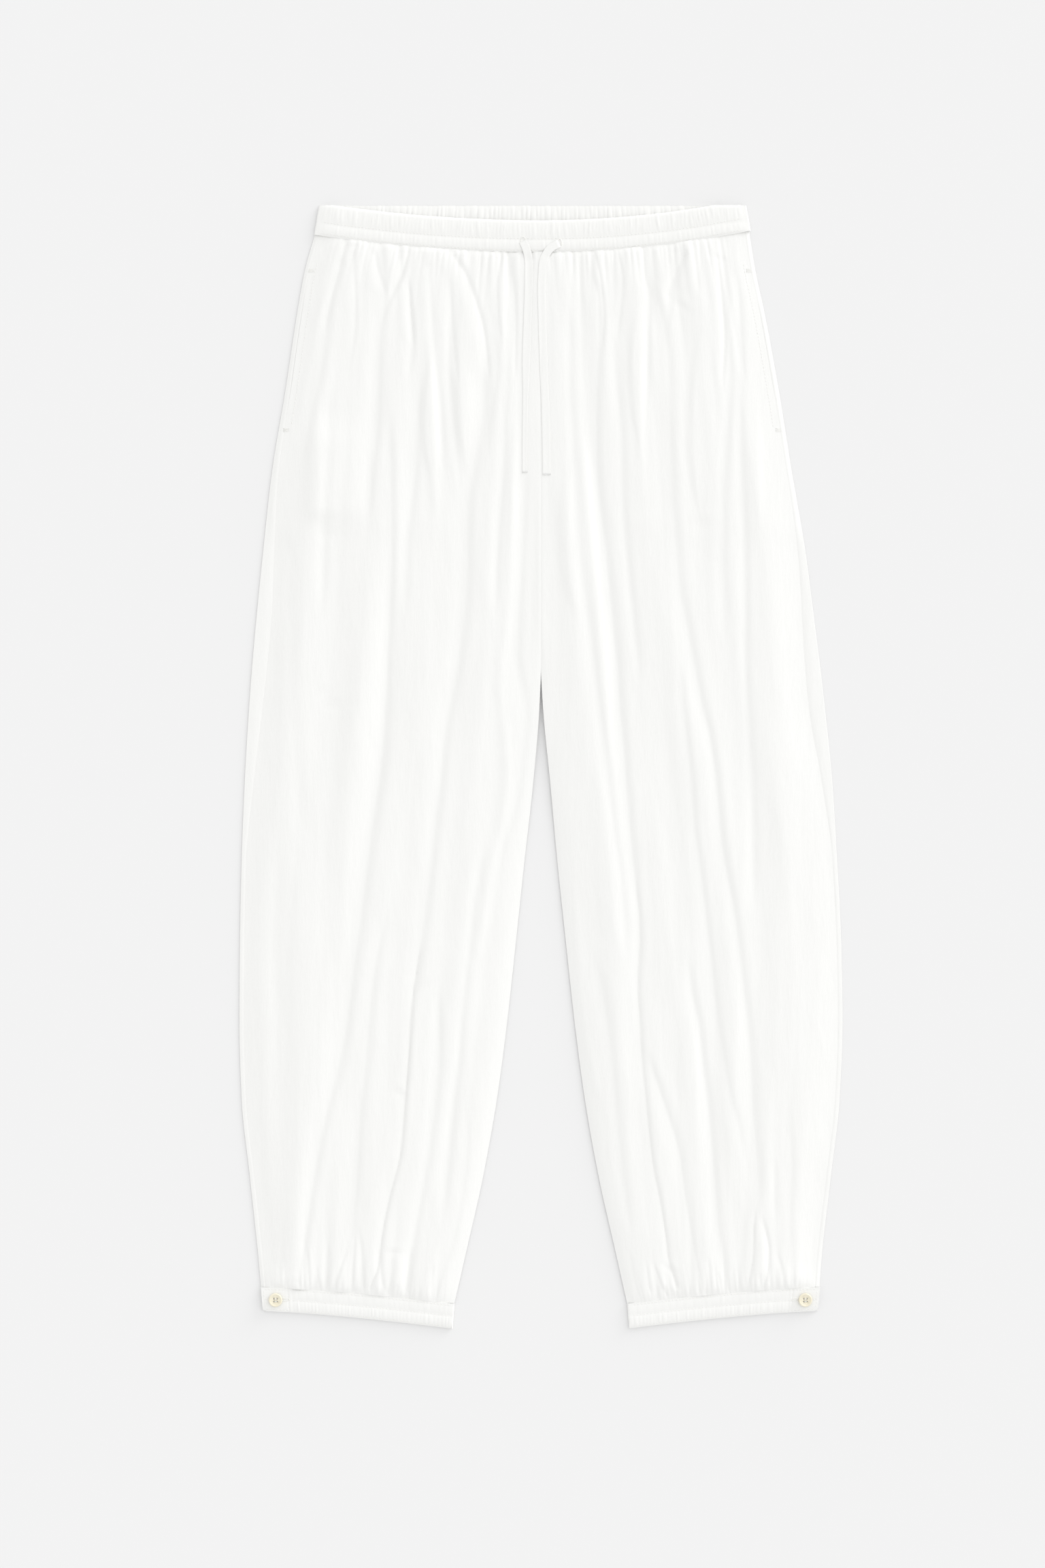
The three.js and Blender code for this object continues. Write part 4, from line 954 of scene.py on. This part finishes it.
def cuffRise(leg, reach, down):  # ribs, puckers and stitch lines of the front of the cuff
    cut = legs[leg]
    fromTab = cut["outer"] - reach
    along = np.clip((fromTab - cuff["tab"]) / (cut["outer"] - cut["cuffInner"] - cuff["tab"]), 0, 1)
    past = smooth(cuff["tab"], cuff["tab"] + 5, fromTab) * (1 - smooth(0.97, 1, along))
    line, seed = cuff["stitchLine"], cuff["seed"] + cut["side"]
    lower = np.sin(math.pi * np.clip((down - line) / (1 - line), 0, 1)) ** 0.6
    upper = np.sin(math.pi * np.clip(down / line, 0, 1)) ** 0.8
    rise = past * (cuff["rib"] * lower * ribs(cuff["ribs"], seed, along)
                   + cuff["upperRib"] * upper * ribs(cuff["ribs"] // 2 + 3, seed + 5, along))
    rise = rise + 0.3 * (lower + upper) * (0.6 + 0.4 * past) + 0.25 * np.clip(1 - down / 0.05, 0, 1)
    rise = rise - cuff["rimDrop"] * np.exp(-(1 - down) * 21 / 2.2)
    tabStep = cuff["tabStep"] * (1 - smooth(cuff["tab"] - 0.6, cuff["tab"] + 0.6, fromTab))
    groove = cuff["groove"] * np.exp(-(((fromTab - cuff["tab"] + 2.5) / 0.7) ** 2))
    return rise + tabStep - groove


def makeCuff(leg):
    cut = legs[leg]
    bm = bmesh.new()
    bmesh.ops.create_grid(bm, x_segments=cuff["columns"], y_segments=cuff["rows"], size=1)
    along, down = gridShares(bm)
    radius = (cuff["front"] - cuff["back"]) / 2
    centre = cut["cuffInner"] + radius * 0.5 + cuff["thick"] / 2
    share = np.clip(along / cuff["frontShare"], 0, 1)
    turn = np.clip((along - cuff["frontShare"]) / (cuff["turnShare"] - cuff["frontShare"]), 0, 1)
    under = np.clip((along - cuff["turnShare"]) / (1 - cuff["turnShare"]), 0, 1)
    onFront, onBack = along <= cuff["frontShare"], along >= cuff["turnShare"]
    reach = np.where(onFront, lerp(cut["outer"] - 0.1, centre, share), lerp(centre, cut["outer"] - 0.1, under))
    turning = ~(onFront | onBack)
    reach = np.where(turning, centre - radius * 0.5 * np.sin(math.pi * turn), reach)
    z = np.where(onFront, cuff["front"] + cuffRise(leg, reach, down), cuff["back"])
    z = np.where(turning, lerp(cuff["front"], cuff["back"], 0.5 - 0.5 * np.cos(math.pi * turn)), z)
    hidden = 0.5 * ribs(cuff["hiddenRibs"], cuff["hiddenSeed"], under) * np.sin(math.pi * down) * smooth(0, 0.05, under)
    z = np.where(onBack, z + hidden, z)
    corner = cuff["corner"] * (1 - smooth(0, 4, cut["outer"] - reach)) * onFront
    x, y = cuffPlace(leg, reach, down)
    placed(bm, x, y + corner * down - 0.02, z)
    return finishPiece(bm, f"cuffStrip_{leg}", cuffCloth, [f"cuff_{leg}"], cuff["thick"], turnOut=True)


cuffs = {leg: makeCuff(leg) for leg in legs}
print("cuffs made")

# buttons: four holes, raised rim, sewn with thread
button = {
    "radius": 5.85, "thick": 2.2, "rim": 1.15, "dish": 0.55, "hole": 0.72, "spread": 1.595, "steps": 64,
    "strand": 0.2, "strandApart": 0.22, "strandRise": 0.38,
}


def addTube(bm, points, radius, sides=6, closed=False):
    points = np.asarray(points, float)
    before = set(bm.verts)
    made = bmesh.ops.create_grid(bm, x_segments=sides, y_segments=len(points) - (0 if closed else 1), size=1)["verts"]
    flat = np.array([vert.co[:2] for vert in made])
    around, along = (flat[:, 0] + 1) * math.pi, (flat[:, 1] + 1) / 2
    line = np.vstack([points, points[:1]]) if closed else points
    heading = np.gradient(line, axis=0)
    if closed:
        heading[0] = heading[-1] = line[1] - line[-2]
    row = np.rint(along * (len(line) - 1)).astype(int)
    for vert, angle, index in zip(made, around, row):
        ahead = Vector(heading[index]).normalized()
        sideways = ahead.cross(Vector((0, 0, 1)))
        sideways = sideways.normalized() if sideways.length > 1e-6 else Vector((1, 0, 0))
        upward = sideways.cross(ahead)
        spot = Vector(line[index]) + (sideways * math.cos(angle) + upward * math.sin(angle)) * radius
        vert.co = spot * mm
    bmesh.ops.remove_doubles(bm, verts=made, dist=0.000002)
    if not closed:
        loose = [edge for edge in bm.edges if edge.is_boundary]
        bmesh.ops.holes_fill(bm, edges=loose, sides=0)


def makeButton(leg):
    low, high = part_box(f"button_{leg}")
    middle = (low + high) / 2
    radius, thick, rim, dish = (button[key] for key in ("radius", "thick", "rim", "dish"))
    profile = [(0.001, 0), (radius - 1.1, 0), (radius - 0.35, 0.35), (radius, 0.9), (radius, thick - 0.75),
               (radius - 0.2, thick - 0.25), (radius - 0.6, thick), (radius - rim, thick - 0.12),
               (radius - rim - 0.55, thick - dish), (1.2, thick - dish - 0.05), (0.001, thick - dish - 0.05)]
    bm = bmesh.new()
    verts = [bm.verts.new((r * mm, 0, z * mm)) for r, z in profile]
    edges = [bm.edges.new(pair) for pair in zip(verts, verts[1:])]
    bmesh.ops.spin(bm, geom=verts + edges, cent=(0, 0, 0), axis=(0, 0, 1), dvec=(0, 0, 0),
                   angle=fullTurn, steps=button["steps"], use_merge=True)
    bmesh.ops.remove_doubles(bm, verts=bm.verts, dist=0.00002)
    bmesh.ops.recalc_face_normals(bm, faces=bm.faces)
    bmesh.ops.translate(bm, verts=bm.verts, vec=(middle.x, middle.y, low.z))
    piece = finishPiece(bm, f"shirtButton_{leg}", buttonCream, [f"button_{leg}"])
    holes = bmesh.new()
    for quarter in range(4):
        angle = math.pi / 4 + quarter * math.pi / 2
        spot = Vector((middle.x + math.cos(angle) * button["spread"] * mm,
                       middle.y + math.sin(angle) * button["spread"] * mm, low.z + thick / 2 * mm))
        bmesh.ops.create_cone(holes, cap_ends=True, segments=20, radius1=button["hole"] * mm,
                              radius2=button["hole"] * mm, depth=6 * mm, matrix=Matrix.Translation(spot))
    mesh = bpy.data.meshes.new("holeCutter")
    holes.to_mesh(mesh)
    holes.free()
    cutter = addObject("holeCutter", mesh)
    cutting = piece.modifiers.new("holes", "BOOLEAN")
    cutting.operation, cutting.solver, cutting.object = "DIFFERENCE", "EXACT", cutter
    bpy.context.view_layer.update()
    cutMesh = bpy.data.meshes.new_from_object(piece.evaluated_get(bpy.context.evaluated_depsgraph_get()))
    piece.modifiers.clear()
    piece.data = cutMesh
    bpy.data.objects.remove(cutter)
    bm = bmesh.new()  # thread in two pairs of holes, and down into them
    spread = button["spread"] * math.sqrt(0.5)
    base, centre = low.z / mm, middle.x / mm
    top = base + thick - dish
    for side in (-1, 1):
        for strand in (-button["strandApart"], button["strandApart"]):
            y = middle.y / mm + side * spread + strand
            addTube(bm, [(centre - spread - 0.1, y, base - 0.4), (centre - spread, y, top - 0.2),
                         (centre - spread * 0.5, y, top + 0.3), (centre, y, top + button["strandRise"]),
                         (centre + spread * 0.5, y, top + 0.3), (centre + spread, y, top - 0.2),
                         (centre + spread + 0.1, y, base - 0.4)], button["strand"])
    finishPiece(bm, f"buttonThread_{leg}", thread, turnOut=True)


for leg in legs:
    makeButton(leg)
print("buttons made")


# stitching laid on the finished cloth
def skinOf(*pieces):
    depsgraph = bpy.context.evaluated_depsgraph_get()
    return [BVHTree.FromObject(piece, depsgraph) for piece in pieces]


def dropOn(skins, x, y):
    heights = []
    for skin in skins:
        hit = skin.ray_cast(Vector((x * mm, y * mm, 0.05)), Vector((0, 0, -1)))
        if hit[0] is not None:
            heights.append(hit[0].z / mm)
    return max(heights) if heights else None


stitch = {
    "pitch": 3.0, "length": 2.2, "radius": 0.24, "lift": 0.02, "points": 400,
    "waistRows": (1.2, 11.2), "cuffRows": (0.07, 0.5, 0.93), "tabRows": (2.4, 23.5), "fromMouth": 5.5,
    "tackLength": 6.2, "tackRows": 4, "tackSpread": 1.3, "tackHalf": 3.2, "tackIn": 1.5,
    "hole": (7.2, 1.25), "holeInward": 4.6, "holeThread": 0.32, "eyelet": (2.0, 4.0), "eyeletThread": 0.4,
}


def addStitches(bm, skins, points, pitch=stitch["pitch"], length=stitch["length"]):
    line, total = smoothLine(points, stitch["points"])
    count = int(total / pitch + 0.01)
    for index in range(count):
        ends = []
        for offset in (-0.5, 0.5):
            share = (index + 0.5) * pitch + offset * length
            spot = [np.interp(share, np.linspace(0, total, stitch["points"]), line[:, axis]) for axis in (0, 1)]
            height = dropOn(skins, *spot)
            if height is not None:
                ends.append(Vector((spot[0], spot[1], height + stitch["lift"])))
        if len(ends) < 2:
            continue
        along = ends[1] - ends[0]
        turn = along.to_track_quat("X", "Z").to_matrix().to_4x4()
        size = Matrix.Diagonal((along.length / 2, stitch["radius"], stitch["radius"] * 0.8, 1))
        place = Matrix.Translation((ends[0] + ends[1]) / 2 * mm) @ turn @ size
        bmesh.ops.create_uvsphere(bm, u_segments=6, v_segments=4, radius=mm, matrix=place)


def addRing(bm, skins, cx, cy, wide, tall, radius, steps, usual, square=False):  # thread round a hole in the cloth
    points = []
    for step in range(steps):
        angle = fullTurn * step / steps
        rise = math.sin(angle)
        px, py = cx + wide * math.cos(angle), cy + tall * (np.sign(rise) * abs(rise) ** 0.5 if square else rise)
        points.append((px, py, (dropOn(skins, px, py) or usual) + 0.05))
    addTube(bm, points, radius, closed=True)


bpy.context.view_layer.update()
bandSkin = skinOf(waistbandRing)
seamLine = bmesh.new()
xs = np.linspace(waist["left"] + 4, waist["right"] - 4, 60)
for rise in stitch["waistRows"]:
    addStitches(seamLine, bandSkin, [(x, float(frontSeam(x)) + rise) for x in xs])
finishPiece(seamLine, "waistStitching", thread, turnOut=True)

for leg in legs:
    cut = legs[leg]
    skins = skinOf(cuffs[leg])
    rows = bmesh.new()
    for down in stitch["cuffRows"]:
        reaches = np.linspace(cut["outer"] - 3, cut["cuffInner"] + 3, 40)
        spots = [cuffPlace(leg, reach, down) for reach in reaches]
        addStitches(rows, skins, [(float(x), float(y)) for x, y in spots])
    for fromTab in stitch["tabRows"]:
        spots = [cuffPlace(leg, cut["outer"] - fromTab, down) for down in np.linspace(0.12, 0.88, 6)]
        addStitches(rows, skins, [(float(x), float(y)) for x, y in spots])
    finishPiece(rows, f"cuffStitching_{leg}", thread, turnOut=True)
    # buttonhole: a worked slit that runs inward from under the button
    low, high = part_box(f"button_{leg}")
    cx, cy = (low.x + high.x) / 2 / mm - cut["side"] * stitch["holeInward"], (low.y + high.y) / 2 / mm
    ring = bmesh.new()
    addRing(ring, skins, cx, cy, *stitch["hole"], stitch["holeThread"], steps=28, usual=3.5, square=True)
    finishPiece(ring, f"buttonhole_{leg}", thread, turnOut=True)

    # pocket opening: stitching beside the mouth, bar tacks at both ends
    front = skinOf(fronts[leg], backs[leg])
    opening = bmesh.new()
    ys = np.linspace(pocket["top"] + 4, pocket["bottom"] + 4, 24)
    addStitches(opening, front, [(cut["side"] * (float(sideSeam(leg, y)) - stitch["fromMouth"]), y) for y in ys])
    for y in (pocket["top"] - 2, pocket["bottom"] + 2):
        for offset in np.linspace(-stitch["tackSpread"], stitch["tackSpread"], stitch["tackRows"]):
            xMid, half = cut["side"] * (float(sideSeam(leg, y)) - stitch["tackIn"]), stitch["tackHalf"]
            addStitches(opening, front, [(xMid - half, y + offset), (xMid, y + offset), (xMid + half, y + offset)],
                        pitch=2 * half, length=stitch["tackLength"])
    finishPiece(opening, f"pocketStitching_{leg}", thread, turnOut=True)

# eyelets where the drawstring leaves its channel
eyelets = bmesh.new()
for leg in legs:
    (cx, *_), (cy, *_) = tie[leg]
    addRing(eyelets, bandSkin, cx, cy, *stitch["eyelet"], stitch["eyeletThread"], steps=24, usual=4.5)
finishPiece(eyelets, "drawstringEyelets", thread, turnOut=True)
print("stitching made")

# floor and light
studio = {"floor": 14.0, "floorGrey": 0.8145, "grain": 0.002, "below": 0.0003, "fill": 0.946}
lamps = {  # share of the light on the floor, degrees from straight above, softness, direction it comes from
    "key": (0.10, 48, 62, (0.72, 0.69)),
    "low": (0.048, 84, 32, (0.70, 0.71)),
}
bm = bmesh.new()
bmesh.ops.create_grid(bm, x_segments=4, y_segments=4, size=studio["floor"] / 2)
mesh = bpy.data.meshes.new("floor")
bm.to_mesh(mesh)
bm.free()
floor = addObject("floor", mesh)
floor.location = (0, 0, -studio["below"])
floorFinish, tree, shader, place = newMaterial("paleFloor")
darker, lighter = ([studio["floorGrey"] * (1 + change)] * 3 for change in (-studio["grain"], studio["grain"]))
mixColours(tree, noiseNode(tree, place, 40, 3, 0.5), darker, lighter, shader.inputs["Base Color"])
shader.inputs["Roughness"].default_value = 0.95
shader.inputs["Specular IOR Level"].default_value = 0.0
mesh.materials.append(floorFinish)
floor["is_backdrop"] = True

world = bpy.data.worlds.new("studio")
bpy.context.scene.world = world
world.use_nodes = True
world.node_tree.nodes["Background"].inputs["Color"].default_value = (1, 1, 1, 1)
world.node_tree.nodes["Background"].inputs["Strength"].default_value = studio["fill"]
for name, (share, fromAbove, softness, (towardX, towardY)) in lamps.items():
    tilt = math.radians(fromAbove)
    lampData = bpy.data.lights.new(name, "SUN")
    lampData.energy = share * math.pi / math.cos(tilt)
    lampData.angle = math.radians(softness)
    lamp = addObject(name, lampData)
    towards = Vector((towardX * math.sin(tilt), towardY * math.sin(tilt), math.cos(tilt)))
    lamp.rotation_euler = towards.to_track_quat("Z", "Y").to_euler()
bpy.context.scene.view_settings.view_transform = "Standard"
bpy.context.scene.view_settings.look = "None"
print("floor and light set")

low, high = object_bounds()
